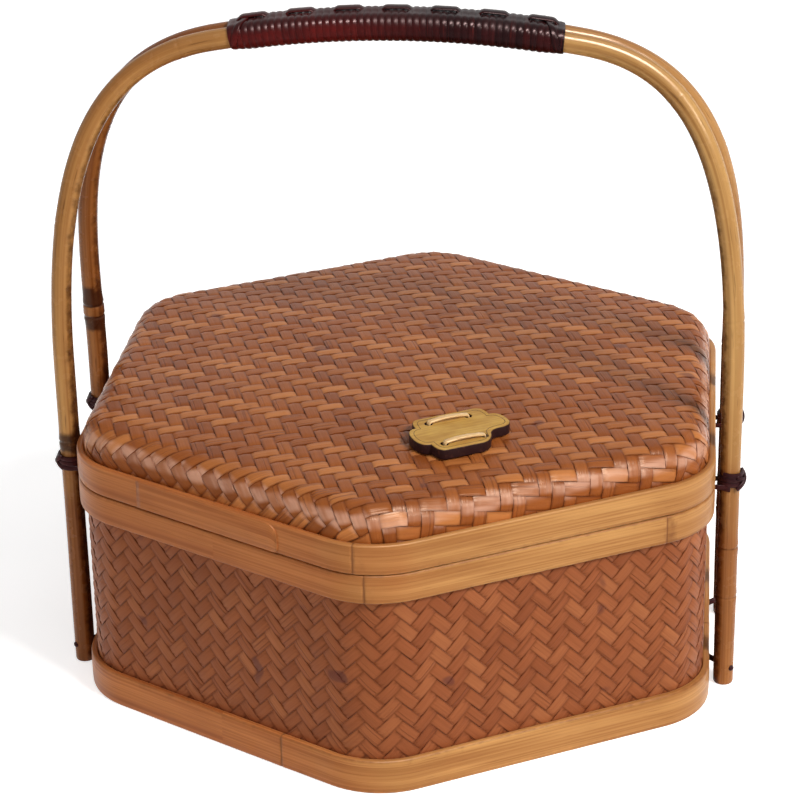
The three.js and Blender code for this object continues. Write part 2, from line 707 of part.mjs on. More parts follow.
function gripStation(along, y, z, outY, outZ) {
  const angle = along / GRIP_ARC_RADIUS;
  const up = new THREE.Vector3(Math.sin(angle), 0, Math.cos(angle));
  const across = new THREE.Vector3(Math.cos(angle), 0, -Math.sin(angle));
  const centre = new THREE.Vector3(0, GRIP_Y, ARCH_HEIGHT - GRIP_ARC_RADIUS);
  centre.addScaledVector(up, GRIP_ARC_RADIUS + z);
  centre.y += y;
  const out = new THREE.Vector3(0, outY, 0).addScaledVector(up, outZ);
  return { centre, out, across };
}

function makeGripWinding() {
  const radius = POLE_RADIUS + GAP + GRIP_STRAP_THICKNESS / 2;
  const round = 2 * Math.PI * radius + 4 * POLE_SPREAD;
  const covered = 2 * (GRIP_HALF_LENGTH - GRIP_END_MARGIN);
  const pitch = (covered + GRIP_LOOP_GAP) / (GRIP_LOOPS + 1);
  const start = (-GRIP_LOOPS * pitch) / 2;
  const steps = GRIP_LOOPS * LOOP_STEPS;
  const tuck = GRIP_STRAP_THICKNESS; // how far each end rises into the groove under the two poles
  const stations = [gripStation(start, 0, -radius + tuck, -1, 0)];
  for (let step = 1; step < steps; step += 1) {
    const { y, z, outY, outZ } = gripRing((round * step) / LOOP_STEPS, radius);
    stations.push(gripStation(start + (pitch * step) / LOOP_STEPS, y, z, outY, outZ));
  }
  stations.push(gripStation(-start, 0, -radius + tuck, 1, 0));
  const winding = strap(stations, pitch - GRIP_LOOP_GAP, GRIP_STRAP_THICKNESS);
  console.log('grip winding, least gap to itself', leastGap(winding.rings, LOOP_STEPS).toFixed(2));
  return winding.geometry;
}

function makeLashing(side, legY, name) {
  const radius = POLE_RADIUS + GAP + LASHING_THICKNESS / 2;
  const middle = BODY_HEIGHT - LASHING_DROP;
  const turns = LASHING_TURNS + 0.75;
  const halfRise = (turns * (LASHING_WIDTH + LASHING_LOOP_GAP)) / 2;
  const steps = turns * LASHING_STEPS;
  const across = new THREE.Vector3(0, 0, 1);
  const stations = [];
  const tail = LEG_X - HALF_WIDTH - GAP;
  const station = (angle, inset, height) => {
    const out = new THREE.Vector3(side * Math.cos(angle), Math.sin(angle), 0);
    const centre = new THREE.Vector3(side * (LEG_X - inset), legY, height);
    return { centre: centre.addScaledVector(out, radius), out, across };
  };
  stations.push(station(-Math.PI / 2, tail, middle - halfRise));
  for (let step = 0; step <= steps; step += 1) {
    const angle = -Math.PI / 2 + (step / LASHING_STEPS) * 2 * Math.PI;
    stations.push(station(angle, 0, middle + halfRise * ((2 * step) / steps - 1)));
  }
  const lashing = strap(stations, LASHING_WIDTH, LASHING_THICKNESS);
  console.log(name, 'least gap to itself', leastGap(lashing.rings, LASHING_STEPS).toFixed(2));
  return lashing.geometry;
}

// Assembly

const basket = new THREE.Group();

function addPiece(name, geometry, finish) {
  const mesh = new THREE.Mesh(geometry, new THREE.MeshStandardMaterial(finish));
  mesh.name = name;
  basket.add(mesh);
}

const legs = [
  { side: -1, y: FRONT_LEG_Y, label: 'front_left' },
  { side: 1, y: FRONT_LEG_Y, label: 'front_right' },
  { side: -1, y: BACK_LEG_Y, label: 'back_left' },
  { side: 1, y: BACK_LEG_Y, label: 'back_right' },
];

addPiece('body_wall', makeBodyWall(), WOVEN);
addPiece('base_panel', hexPlate(WALL_INNER - GAP, PANEL_BASE, PANEL_TOP), WOVEN);
const pinBores = legs.map((leg) => makePin(leg.side, leg.y, GAP));
const baseBand = hexRing(HALF_WIDTH, HALF_WIDTH - BAND_THICKNESS, 0, BASE_BAND_HEIGHT);
addPiece('base_band_outer', cutAll(baseBand, pinBores), BAMBOO);
const linerInner = WALL_INNER - GAP - COLLAR_THICKNESS;
const linerBase = PANEL_TOP + GAP;
const baseLiner = hexRing(WALL_INNER - GAP, linerInner, linerBase, linerBase + BASE_LINER_HEIGHT);
addPiece('base_band_inner', baseLiner, BAMBOO);
for (let number = 0; number < SLAT_COUNT; number += 1) {
  addPiece(`base_slat_${number + 1}`, makeBaseSlat(number), BAMBOO);
}
const rimBase = BODY_HEIGHT - RIM_BAND_HEIGHT;
addPiece('rim_band', hexRing(HALF_WIDTH, HALF_WIDTH - BAND_THICKNESS, rimBase, BODY_HEIGHT), BAMBOO);
const collarInner = COLLAR_OUTER - COLLAR_THICKNESS;
const collar = hexRing(COLLAR_OUTER, collarInner, BODY_HEIGHT - COLLAR_DEPTH, BODY_HEIGHT + COLLAR_RISE);
addPiece('rim_collar', collar, BAMBOO);

addPiece('lid_shell', makeLidShell(), WOVEN);
addPiece('lid_band', hexRing(HALF_WIDTH, HALF_WIDTH - BAND_THICKNESS, LID_BASE, LID_BAND_TOP), BAMBOO);
addPiece('plaque', makePlaque(), PLAQUE_WOOD);
addPiece('plaque_stitch_front', makeStitch(FRONT_STITCH_SHIFT, -STITCH_ROW), GOLD_CANE);
addPiece('plaque_stitch_back', makeStitch(BACK_STITCH_SHIFT, STITCH_ROW), GOLD_CANE);

const frontBend = { start: FRONT_BEND_START, up: FRONT_BEND_UP, inward: FRONT_BEND_IN };
const backBend = { start: BACK_BEND_START, up: BACK_BEND_UP, inward: BACK_BEND_IN };
addPiece('handle_pole_front', makePole(FRONT_LEG_Y, GRIP_Y - POLE_SPREAD, frontBend), BAMBOO);
addPiece('handle_pole_back', makePole(BACK_LEG_Y, GRIP_Y + POLE_SPREAD, backBend), BAMBOO);
addPiece('grip_winding', makeGripWinding(), DARK_CANE);
for (const leg of legs) {
  addPiece(`leg_lashing_${leg.label}`, makeLashing(leg.side, leg.y, `lashing ${leg.label}`), DARK_CANE);
  addPiece(`leg_pin_${leg.label}`, makePin(leg.side, leg.y, 0), DARK_CANE);
}

export default basket;
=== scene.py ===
# %% [markdown]
# # A hexagonal bamboo tea basket
# The real basket is woven from split bamboo and stiffened with bent bamboo hoops. Its lid lifts
# off straight up between the two bent poles of the handle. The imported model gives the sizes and
# places, so this script only makes what the eye sees: the strips, the grain, the cane and the wood.

import math

import bpy
import numpy as np
from mathutils import Matrix, Vector


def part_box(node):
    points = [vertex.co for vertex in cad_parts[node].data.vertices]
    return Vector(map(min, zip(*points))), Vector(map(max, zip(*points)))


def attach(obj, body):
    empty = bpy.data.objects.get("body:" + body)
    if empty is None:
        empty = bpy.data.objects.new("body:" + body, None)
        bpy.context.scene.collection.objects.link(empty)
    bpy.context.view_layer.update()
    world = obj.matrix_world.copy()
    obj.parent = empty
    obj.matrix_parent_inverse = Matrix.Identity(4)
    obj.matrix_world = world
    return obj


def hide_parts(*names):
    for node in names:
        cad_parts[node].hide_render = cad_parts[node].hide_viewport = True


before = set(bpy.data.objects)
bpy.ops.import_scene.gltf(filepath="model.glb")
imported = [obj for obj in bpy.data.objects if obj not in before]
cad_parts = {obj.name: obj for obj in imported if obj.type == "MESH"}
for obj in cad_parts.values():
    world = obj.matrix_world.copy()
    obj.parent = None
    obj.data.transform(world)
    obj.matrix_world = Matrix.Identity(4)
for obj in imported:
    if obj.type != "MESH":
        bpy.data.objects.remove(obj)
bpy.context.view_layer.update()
SEED = 11

# %% [markdown]
# ## Sizes
# Heights and widths are read from the model's own pieces. Only what a box can't tell, such as the
# thickness of a band or the bend of a pole, is written down here again, in metres.

# %% Sizes of the basket
MM = 0.001
CORNER_RADIUS = 32 * MM
BAND_THICKNESS = 2.4 * MM
WALL_THICKNESS = 1.6 * MM
COLLAR_THICKNESS = 2 * MM
SHOULDER_BEND = 9.5 * MM
SHOULDER_RISE = 12 * MM
LID_CROWN = 3.5 * MM
POLE_RADIUS = 4 * MM

HALF_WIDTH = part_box("rim_band")[1].x
WALL_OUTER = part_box("body_wall")[1].x
RIM_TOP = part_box("rim_band")[1].z
LID_LOW, LID_TOP = (corner.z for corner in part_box("lid_band"))
PANEL_LOW, PANEL_TOP = (corner.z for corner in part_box("base_panel"))
print("half width", round(HALF_WIDTH, 4), "lid band top", round(LID_TOP, 4))

# %% [markdown]
# ## Adding things
# Every object goes into the scene in the same way, and every value that a material reads from the
# points of a mesh is written in the same way.

# %% Add an object, write values


def new_object(name, data):
    made = bpy.data.objects.new(name, data)
    bpy.context.scene.collection.objects.link(made)
    return made


def fill_attribute(mesh, name, kind, values):
    """Writes one number, or one vector, for each point of a mesh."""
    key = "vector" if kind == "FLOAT_VECTOR" else "value"
    flat = np.asarray(values, np.float32).ravel()
    mesh.attributes.new(name, kind, "POINT").data.foreach_set(key, flat)


def unit(rows):
    """The same directions, each of length 1."""
    return rows / np.linalg.norm(rows, axis=1)[:, None]


def mesh_points(mesh):
    flat = np.zeros(len(mesh.vertices) * 3, np.float32)
    mesh.vertices.foreach_get("co", flat)
    return flat.reshape(-1, 3)


def make_smooth(mesh):
    mesh.polygons.foreach_set("use_smooth", [True] * len(mesh.polygons))


print("small helpers ready")

# %% [markdown]
# ## Camera
# The photograph looks down at the basket at about 24 degrees, from the front and slightly to the
# right of its middle. The camera's place and turns were found by laying the hexagon's corners and
# the handle over the photograph, so the basket fills the frame in the same way.

# %% Put the camera where the photograph was taken
CAMERA_PLACE = Vector((106.0, -956.0, 521.1)) * MM
CAMERA_YAW = -0.1134
CAMERA_PITCH = 0.4156
CAMERA_ROLL = 0.0198
LENS = 120.87
SENSOR = 36


def camera_turn():
    """Columns are the camera's right, up and backward directions."""
    cos_pitch, sin_pitch = math.cos(CAMERA_PITCH), math.sin(CAMERA_PITCH)
    cos_roll, sin_roll = math.cos(CAMERA_ROLL), math.sin(CAMERA_ROLL)
    forward = Vector((0, cos_pitch, -sin_pitch))
    right = Vector((1, 0, 0))
    down = forward.cross(right)
    level = Matrix.Rotation(-CAMERA_YAW, 3, "Z")
    tilted_right = level @ (cos_roll * right + sin_roll * down)
    tilted_down = level @ (cos_roll * down - sin_roll * right)
    return Matrix((tilted_right, -tilted_down, -(level @ forward))).transposed()


camera_data = bpy.data.cameras.new("camera")
camera_data.lens = LENS
camera_data.sensor_width = SENSOR
camera = new_object("camera", camera_data)
camera.matrix_world = Matrix.Translation(CAMERA_PLACE) @ camera_turn().to_4x4()
bpy.context.scene.camera = camera
print("camera at", [round(value, 3) for value in CAMERA_PLACE])

# %% [markdown]
# ## Helpers for node trees
# A node tree is easier to read as sums. So an output of a node is held as a Field, which adds,
# subtracts, multiplies and divides like a number, or like a vector where it is one, by adding the
# node for it. The other helpers add one node each, link or fill its inputs, and give a Field back.

# %% Node helpers
FLOAT = "NodeSocketFloat"
VECTOR = "NodeSocketVector"
COLOUR = "NodeSocketColor"
WHOLE = "NodeSocketInt"
SHAPE = "NodeSocketGeometry"
FINISH = "NodeSocketMaterial"
THING = "NodeSocketObject"


class Field:
    """One output of a node, with the signs of arithmetic."""

    def __init__(self, socket):
        self.socket = socket
        self.tree = socket.id_data
        self.is_vector = socket.type == "VECTOR"

    def __add__(self, other):
        return combine("ADD", self, other)

    def __sub__(self, other):
        return combine("SUBTRACT", self, other)

    def __rsub__(self, other):
        return combine("SUBTRACT", other, self)

    def __mul__(self, other):
        return combine("MULTIPLY", self, other)

    def __truediv__(self, other):
        return combine("DIVIDE", self, other)


def find_input(node, key):
    if isinstance(key, int):
        return node.inputs[key]
    return next(socket for socket in node.inputs if socket.name == key and socket.enabled)


def add(tree, kind, values=None, **settings):
    """Adds a node; a value that is a Field is linked, and any other is filled in."""
    node = tree.nodes.new(kind)
    for key, value in settings.items():
        setattr(node, key, value)
    for key, value in (values or {}).items():
        socket = find_input(node, key)
        if isinstance(value, Field):
            tree.links.new(value.socket, socket)
        else:
            socket.default_value = value
    return node


def outputs_of(node):
    return {socket.name: Field(socket) for socket in node.outputs if socket.enabled}


def first_of(tree, kind, values=None, **settings):
    """Adds a node and gives the first output that is in use."""
    node = add(tree, kind, values, **settings)
    return Field(next(socket for socket in node.outputs if socket.enabled))


def tree_of(*values):
    return next(value.tree for value in values if isinstance(value, Field))


def calc(operation, *values):
    return first_of(tree_of(*values), "ShaderNodeMath", dict(enumerate(values)), operation=operation)


def calc_vector(operation, *values):
    return first_of(tree_of(*values), "ShaderNodeVectorMath", dict(enumerate(values)), operation=operation)


def combine(operation, first, second):
    """Two numbers, two vectors, or a vector times a number."""
    vectors = [isinstance(value, tuple) or getattr(value, "is_vector", False) for value in (first, second)]
    if all(vectors):
        return calc_vector(operation, first, second)
    if any(vectors):
        return first_of(first.tree, "ShaderNodeVectorMath", {0: first, "Scale": second}, operation="SCALE")
    return calc(operation, first, second)


def vector_of(x, y, z):
    return first_of(tree_of(x, y, z), "ShaderNodeCombineXYZ", {0: x, 1: y, 2: z})


def parts_of(vector):
    return [Field(socket) for socket in add(vector.tree, "ShaderNodeSeparateXYZ", {0: vector}).outputs]


def clamp(value):
    return first_of(value.tree, "ShaderNodeClamp", {"Value": value})


def ramp(value, low, high, to_low=0.0, to_high=1.0):
    """A soft step of the value, from low to high."""
    values = {"Value": value, "From Min": low, "From Max": high, "To Min": to_low, "To Max": to_high}
    return first_of(value.tree, "ShaderNodeMapRange", values, interpolation_type="SMOOTHSTEP")


def noise(place, scale, detail):
    values = {"Vector": place, "Scale": scale, "Detail": detail}
    return first_of(place.tree, "ShaderNodeTexNoise", values)


def blend_colours(share, first, second, mode="MIX"):
    values = {"Factor": share, "A": first, "B": second}
    return first_of(tree_of(share, first, second), "ShaderNodeMix", values, data_type="RGBA", blend_type=mode)


def new_group(name, kind, inputs, outputs):
    """A node group and its inputs. inputs is {kind of socket: names}, outputs {name: kind}."""
    tree = bpy.data.node_groups.new(name, kind)
    for socket_kind, labels in inputs.items():
        for label in labels:
            tree.interface.new_socket(name=label, in_out="INPUT", socket_type=socket_kind)
    for label, socket_kind in outputs.items():
        tree.interface.new_socket(name=label, in_out="OUTPUT", socket_type=socket_kind)
    return tree, outputs_of(add(tree, "NodeGroupInput"))


def srgb(red, green, blue):
    """The linear colour of three values from 0 to 255, as a colour picker shows them."""
    shares = [value / 255 for value in (red, green, blue)]
    linear = [share / 12.92 if share <= 0.04045 else ((share + 0.055) / 1.055) ** 2.4 for share in shares]
    return (*linear, 1.0)


print("helpers ready")

# %% [markdown]
# ## Fibre, as a shader group
# Split bamboo shows its fibres as long fine streaks, with a broader drift between honey and brown.
# Bands, poles, strips and slats all show it at different scales. One group does it: it takes a
# place on the surface, with x along the fibres and y across them, in metres.

# %% Build the fibre group
BROAD_ALONG = 1.7
BROAD_ACROSS = 0.16


def build_fibre_group():
    inputs = {VECTOR: ["Place"], COLOUR: ["Light", "Dark"], FLOAT: ["Along", "Across", "Contrast", "Drift"]}
    outputs = {"Colour": COLOUR, "Height": FLOAT, "Drift": FLOAT}
    tree, given = new_group("bamboo_fibre", "ShaderNodeTree", inputs, outputs)
    x, y, z = parts_of(given["Place"])
    along = x * given["Along"]
    across = y * given["Across"]
    depth = z * given["Across"]
    broad_place = vector_of(along * BROAD_ALONG, across * BROAD_ACROSS, depth * BROAD_ACROSS)
    streak = ramp(noise(vector_of(along, across, depth), 1.0, 3.0), 0.32, 0.68)
    drift = ramp(noise(broad_place, 1.0, 2.0), 0.3, 0.7)
    weight = streak * given["Contrast"] + drift * given["Drift"]
    share = 1.0 - (given["Contrast"] + given["Drift"] - weight)
    colour = blend_colours(clamp(share), given["Dark"], given["Light"])
    add(tree, "NodeGroupOutput", {"Colour": colour, "Height": streak, "Drift": drift})
    return tree


fibre_group = build_fibre_group()
print("fibre group", len(fibre_group.nodes), "nodes")

# %% [markdown]
# ## Handling wear, as a shader group
# Years of hands darken the surface in soft blotches and leave small scuffs. The group gives a mask
# of blotches and one of scuffs, and each material decides what they do to its colour and gloss.

# %% Build the wear group


def texture_place(tree, name):
    return outputs_of(add(tree, "ShaderNodeTexCoord"))[name]


def build_wear_group():
    inputs = {FLOAT: ["Blotch size", "Scuff size"]}
    tree, given = new_group("handling_wear", "ShaderNodeTree", inputs, {"Blotches": FLOAT, "Scuffs": FLOAT})
    place = texture_place(tree, "Object")
    blotches = ramp(noise(place, given["Blotch size"], 3.0), 0.42, 0.66)
    scuffs = ramp(noise(place, given["Scuff size"], 4.0), 0.55, 0.72)
    add(tree, "NodeGroupOutput", {"Blotches": blotches, "Scuffs": scuffs})
    return tree


wear_group = build_wear_group()
print("wear group", len(wear_group.nodes), "nodes")

# %% [markdown]
# ## Materials
# Each material starts from the same few lines: a Principled shader with plain values on its own
# sockets, and links only for what changes over the surface: colour, roughness and bump. A grain is
# four numbers for the fibre group: how fine it is along and across, its contrast and its drift.

# %% Helpers for materials
WARM_SHEEN = (1.0, 0.8, 0.62, 1.0)


def new_material(name, **plain):
    """A material, its tree and its Principled shader, with plain values on the shader's own sockets."""
    material = bpy.data.materials.new(name)
    material.use_nodes = True
    tree = material.node_tree
    shader = tree.nodes["Principled BSDF"]
    for key, value in plain.items():
        shader.inputs[key.replace("_", " ")].default_value = value
    return material, tree, shader


def fibre_at(place, light, dark, grain):
    along, across, contrast, drift = grain
    values = {"Place": place, "Light": light, "Dark": dark, "Along": along, "Across": across}
    values |= {"Contrast": contrast, "Drift": drift}
    return outputs_of(add(place.tree, "ShaderNodeGroup", values, node_tree=fibre_group))


def wear_of(tree, blotch_size, scuff_size):
    values = {"Blotch size": blotch_size, "Scuff size": scuff_size}
    return outputs_of(add(tree, "ShaderNodeGroup", values, node_tree=wear_group))


def read_attribute(tree, name, output):
    return outputs_of(add(tree, "ShaderNodeAttribute", attribute_name=name))[output]


def upward_of(tree):
    """How far the surface faces up, from -1 to 1."""
    return parts_of(texture_place(tree, "Normal"))[2]


def finish_surface(shader, colour, rough, height, bump):
    """Links what changes over the surface. bump: its height in metres, and its strength."""
    tree = colour.tree
    values = {"Height": height, "Distance": bump[0], "Strength": bump[1]}
    normal = first_of(tree, "ShaderNodeBump", values)
    for field, key in ((colour, "Base Color"), (rough, "Roughness"), (normal, "Normal")):
        tree.links.new(field.socket, shader.inputs[key])


print("material helpers ready")

# %% [markdown]
# ### Woven strips
# A strip gets painted shade where it dives under its neighbour and along its two edges, where the gaps and
# crossings fall into shadow. It has its own tone, and thin splits run along some strips. Where the lid's
# strips bend over the shoulder, a pale sheen is painted on. The weave leaves two attributes on every point:
# `lay` (metres along, metres across, height in the weave from -1 to 1) and `tone` (one number for each
# strip).

# %% Material of the woven strips
STRIP_HALF = 2.2 * MM
STRIP_GRAIN = (22.0, 1500.0, 0.55, 0.5)
STRIP_BUMP = (0.06 * MM, 0.8)
PAINTED_SHEEN_PALE = srgb(236, 186, 160)
STAIN_PURPLE = srgb(88, 46, 44)


def make_strip_material(name, colours, roughness, paler_tone):
    """colours: dark, middle, light, and spot_and_shade, the colour of dark spots and of the painted shade in
    the gaps. paler_tone is how strongly a pale sheen is painted where the strips bend over the shoulder.
    """
    dark, middle, light, spot_and_shade = (srgb(*colour) for colour in colours)
    material, tree, shader = new_material(name, Specular_IOR_Level=0.13, Specular_Tint=WARM_SHEEN)
    tone = read_attribute(tree, "tone", "Fac")
    along, across, level = parts_of(read_attribute(tree, "lay", "Vector"))
    base = blend_colours(ramp(tone, 0.0, 0.5), dark, middle)
    base = blend_colours(ramp(tone, 0.5, 1.0), base, light)
    deep = blend_colours(0.32, base, spot_and_shade)
    fibre = fibre_at(vector_of(along, across, tone * 0.7), base, deep, STRIP_GRAIN)
    wear = wear_of(tree, 19.0, 300.0)
    colour = blend_colours(wear["Blotches"] * 0.5, fibre["Colour"], deep)
    split = ramp(noise(vector_of(along * 9.0, across * 700.0, tone * 90.0), 1.0, 1.0), 0.64, 0.7)
    # Painted shade: the strip darkens towards its edges and where it dives under its neighbour, in the gaps
    # and crossings that fall into shadow. The splits are the strip's own.
    edge = calc("POWER", ramp(calc("ABSOLUTE", across) / STRIP_HALF, 0.62, 1.1), 2.0)
    under = ramp(level, 0.75, -0.7)
    shade = calc("MAXIMUM", calc("MAXIMUM", edge * 0.6, under * 0.8), split * 0.4)
    colour = blend_colours(shade, colour, spot_and_shade)
    rare = ramp(noise(texture_place(tree, "Object"), 80.0, 1.0), 0.71, 0.78) * 0.6
    colour = blend_colours(rare, colour, STAIN_PURPLE)
    # Painted sheen: a pale colour laid where the strips bend over the shoulder, in place of the light caught
    # there.
    upward = upward_of(tree)
    bent = ramp(upward, 0.8, 0.6) * ramp(upward, 0.12, 0.4)
    painted_sheen = bent * ramp(fibre["Drift"], 0.0, 1.0, paler_tone, paler_tone * 0.3)
    colour = blend_colours(painted_sheen, colour, PAINTED_SHEEN_PALE)
    rough = ramp(wear["Scuffs"], 0.0, 1.0, roughness, roughness + 0.14) - bent * 0.08
    finish_surface(shader, colour, rough, fibre["Height"] - split * 2.0, STRIP_BUMP)
    return material


# The fourth colour of each is for dark spots and for the painted shade in the gaps and under the crossings.
WALL_COLOURS = ((128, 67, 38), (159, 91, 54), (186, 116, 72), (92, 40, 20))
LID_COLOURS = ((130, 66, 26), (160, 88, 38), (206, 130, 70), (96, 42, 16))
# The lid's strips get the painted sheen over the shoulder, the wall's none.
wall_strip = make_strip_material("woven_bamboo_wall", WALL_COLOURS, 0.42, 0.0)
lid_strip = make_strip_material("woven_bamboo_lid", LID_COLOURS, 0.34, 0.5)
print("strip materials", wall_strip.name, lid_strip.name)

# %% [markdown]
# ### Bands, poles and slats
# The hoops are one long split of bamboo: honey coloured, fine in grain, with a thin dark line where the culm
# had a joint. The poles are thin canes, smoother and more amber, with darker joints. Both read the piece's
# own UV map in metres, and an attribute that is 1 on the joints; it also carries painted shade, in the crease
# where two bands meet and on the side of a pole that faces the basket. The bands turn redder towards the
# left, and the poles darker towards their feet, so a tint comes in softly along one axis.

# %% Materials of the bands and the poles
BAMBOO_BUMP = (0.05 * MM, 0.7)
X_AXIS, Z_AXIS = 0, 2
BAND_LEFT = ((0.94, 0.66, 0.58, 1), X_AXIS, 30 * MM, -40 * MM)
POLE_FOOT = ((0.66, 0.46, 0.38, 1), Z_AXIS, 106 * MM, 60 * MM)
FRONT_LEFT = ((0.92, 0.84, 0.78, 1), X_AXIS, 50 * MM, -70 * MM)
BACK_LEFT = ((0.62, 0.44, 0.34, 1), X_AXIS, 40 * MM, -60 * MM)


def make_bamboo_material(name, colours, fineness, roughness, gloss, tints):
    """colours: light, dark, joint. fineness: along, across. Each tint: colour, axis, start, full."""
    light, dark, joint = (srgb(*colour) for colour in colours)
    along, across = fineness
    material, tree, shader = new_material(name, Specular_IOR_Level=gloss, Specular_Tint=WARM_SHEEN)
    place = texture_place(tree, "UV")
    here = texture_place(tree, "Object")
    fibre = fibre_at(place, light, dark, (along, across, 0.5, 0.5))
    wear = wear_of(tree, 16.0, 240.0)
    colour = blend_colours(wear["Blotches"] * 0.35, fibre["Colour"], dark)
    wander = (noise(here, 30.0, 2.0) - 0.5) * 0.08
    for tint, axis, start, full in tints:
        level = parts_of(here)[axis] + wander
        colour = blend_colours(ramp(level, start, full), colour, tint, "MULTIPLY")
    pores = ramp(noise(place * (along * 9, across * 1.4, 1.0), 1.0, 2.0), 0.63, 0.72) * 0.4
    colour = blend_colours(pores, colour, joint)
    # The joint attribute also holds painted shade, in the creases between bands and on the side of a pole
    # that faces the basket, so the joint colour stands in for shade there too.
    marks = read_attribute(tree, "joint", "Fac") + (noise(here, 300.0, 4.0) - 0.5) * 0.9
    colour = blend_colours(ramp(marks, 0.16, 0.86, 0.0, 0.92), colour, joint)
    rough = ramp(wear["Scuffs"], 0.0, 1.0, roughness, roughness + 0.16)
    finish_surface(shader, colour, rough, fibre["Height"], BAMBOO_BUMP)
    return material


BAND_COLOURS = ((210, 156, 94), (158, 102, 54), (130, 80, 44))
FRONT_COLOURS = ((206, 160, 98), (146, 98, 50), (52, 20, 8))
BACK_COLOURS = ((200, 150, 90), (136, 84, 42), (52, 20, 8))
band_bamboo = make_bamboo_material("bamboo_band", BAND_COLOURS, (7.0, 1100.0), 0.34, 0.16, [BAND_LEFT])
pole_bamboo = {
    label: make_bamboo_material(f"bamboo_pole_{label}", colours, (6.0, 700.0), 0.26, 0.22, [POLE_FOOT, left])
    for label, colours, left in (("front", FRONT_COLOURS, FRONT_LEFT), ("back", BACK_COLOURS, BACK_LEFT))
}
print("bamboo materials", band_bamboo.name, len(pole_bamboo), "for the poles")

# %% [markdown]
# The slats under the base are solid and right as they are, so they stay. They have no UV map, so
# their fibre reads the Object coordinates, which run along X as the slats do. The two stitches of
# the plaque are as plain, in glossy pale cane.

# %% Materials of the slats and the stitches


def make_plain_material(name, place, colours, grain, roughness, bump, **plain):
    """A grain and nothing else. place: UV or Object. roughness: where it drifts from and to."""
    material, tree, shader = new_material(name, **plain)
    fibre = fibre_at(texture_place(tree, place), *colours, grain)
    rough = ramp(fibre["Drift"], 0.0, 1.0, *roughness)
    finish_surface(shader, fibre["Colour"], rough, fibre["Height"], bump)
    return material


slat_bamboo = make_plain_material(
    "bamboo_slat",
    "Object",
    (srgb(204, 152, 94), srgb(150, 94, 50)),
    (7.0, 700.0, 0.55, 0.45),
    (0.42, 0.6),
    (0.06 * MM, 0.8),
    Coat_Weight=0.05,
)
gold_cane = make_plain_material(
    "gold_cane",
    "UV",
    (srgb(240, 208, 156), srgb(206, 158, 98)),
    (90.0, 2400.0, 0.5, 0.4),
    (0.24, 0.34),
    (0.03 * MM, 0.5),
    Specular_IOR_Level=0.25,
    Specular_Tint=WARM_SHEEN,
)
for number in (1, 2, 3):
    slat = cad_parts[f"base_slat_{number}"]
    slat.data.materials.clear()
    slat.data.materials.append(slat_bamboo)
print("slats finished")

# %% [markdown]
# ### Lacquered cane and wood
# The grip and the ties are thin cane under dark lacquer: wine red at one end of the grip and nearly black at
# the other, paler on the ridges from wear. Painted shade turns the cane towards black where it faces up. The
# plaque is light wood with burnt edges.

# %% Material of the lacquered cane
GRIP_HALF = 68 * MM
GRIP_RED_END = -0.5 * GRIP_HALF
GRIP_DARK_END = 0.25 * GRIP_HALF
RED_SHEEN = (1.0, 0.74, 0.74, 1.0)
FINE_BUMP = (0.04 * MM, 0.6)


def make_cane_material(name, colours, fades):
    """colours: red, black, worn. fades: whether it turns from red to black along X."""
    red, black, paler_tone = (srgb(*colour) for colour in colours)
    material, tree, shader = new_material(name, Specular_IOR_Level=0.08, Specular_Tint=RED_SHEEN)
    place = texture_place(tree, "Object")
    along, across, _ = parts_of(read_attribute(tree, "lay", "Vector"))
    fine = noise(vector_of(along * 60.0, across * 2600.0, 0.0), 1.0, 2.0)
    patches = noise(place, 75.0, 3.0)
    share = ramp(patches, 0.35, 0.65)
    if fades:
        fade = ramp(parts_of(place)[0], GRIP_RED_END, GRIP_DARK_END)
        share = calc("MAXIMUM", share * 0.45, fade * 0.9)
        share = clamp(share + (read_attribute(tree, "tone", "Fac") - 0.5))
    colour = blend_colours(share, red, black)
    colour = blend_colours(ramp(fine, 0.56, 0.74) * 0.45, colour, paler_tone)
    # Painted shade: where the cane faces up, its colour turns towards black.
    colour = blend_colours(ramp(upward_of(tree), 0.1, 0.8, 0.0, 0.6), colour, black)
    rough = ramp(patches, 0.3, 0.7, 0.22, 0.38)
    finish_surface(shader, colour, rough, fine, FINE_BUMP)
    return material


grip_cane = make_cane_material("lacquered_cane_grip", ((90, 22, 20), (30, 11, 13), (116, 42, 36)), True)
tie_cane = make_cane_material("lacquered_cane_tie", ((72, 34, 34), (42, 20, 24), (100, 58, 50)), False)
print("cane materials", grip_cane.name, tie_cane.name)

# %% Material of the plaque


def make_plaque_material():
    material, tree, shader = new_material("plaque_wood", Specular_IOR_Level=0.12, Specular_Tint=WARM_SHEEN)
    colours = (srgb(206, 164, 84), srgb(172, 124, 56))
    fibre = fibre_at(texture_place(tree, "UV"), *colours, (60.0, 900.0, 0.45, 0.5))
    wear = wear_of(tree, 120.0, 500.0)
    char = blend_colours(wear["Scuffs"], srgb(44, 24, 26), srgb(74, 42, 34))
    colour = blend_colours(read_attribute(tree, "burn", "Fac"), fibre["Colour"], char)
    finish_surface(shader, colour, ramp(wear["Blotches"], 0.0, 1.0, 0.4, 0.55), fibre["Height"], FINE_BUMP)
    return material


plaque_wood = make_plaque_material()
print("plaque material", plaque_wood.name)

# %% [markdown]
# ## The hexagon
# Every hoop, wall and panel follows a hexagon with round corners. A place on it is a distance from
# the middle of the flat at +X, going round to the left as seen from above. Six equal sides are
# folded onto one, so a single formula gives the point and the outward direction anywhere.

# %% Points on the hexagon
SIXTH = math.pi / 3


def corner_radius(half_flat):
    return CORNER_RADIUS - (HALF_WIDTH - half_flat)


def side_length(half_flat):
    radius = corner_radius(half_flat)
    return 2 * (half_flat - radius) * math.tan(SIXTH / 2) + radius * SIXTH


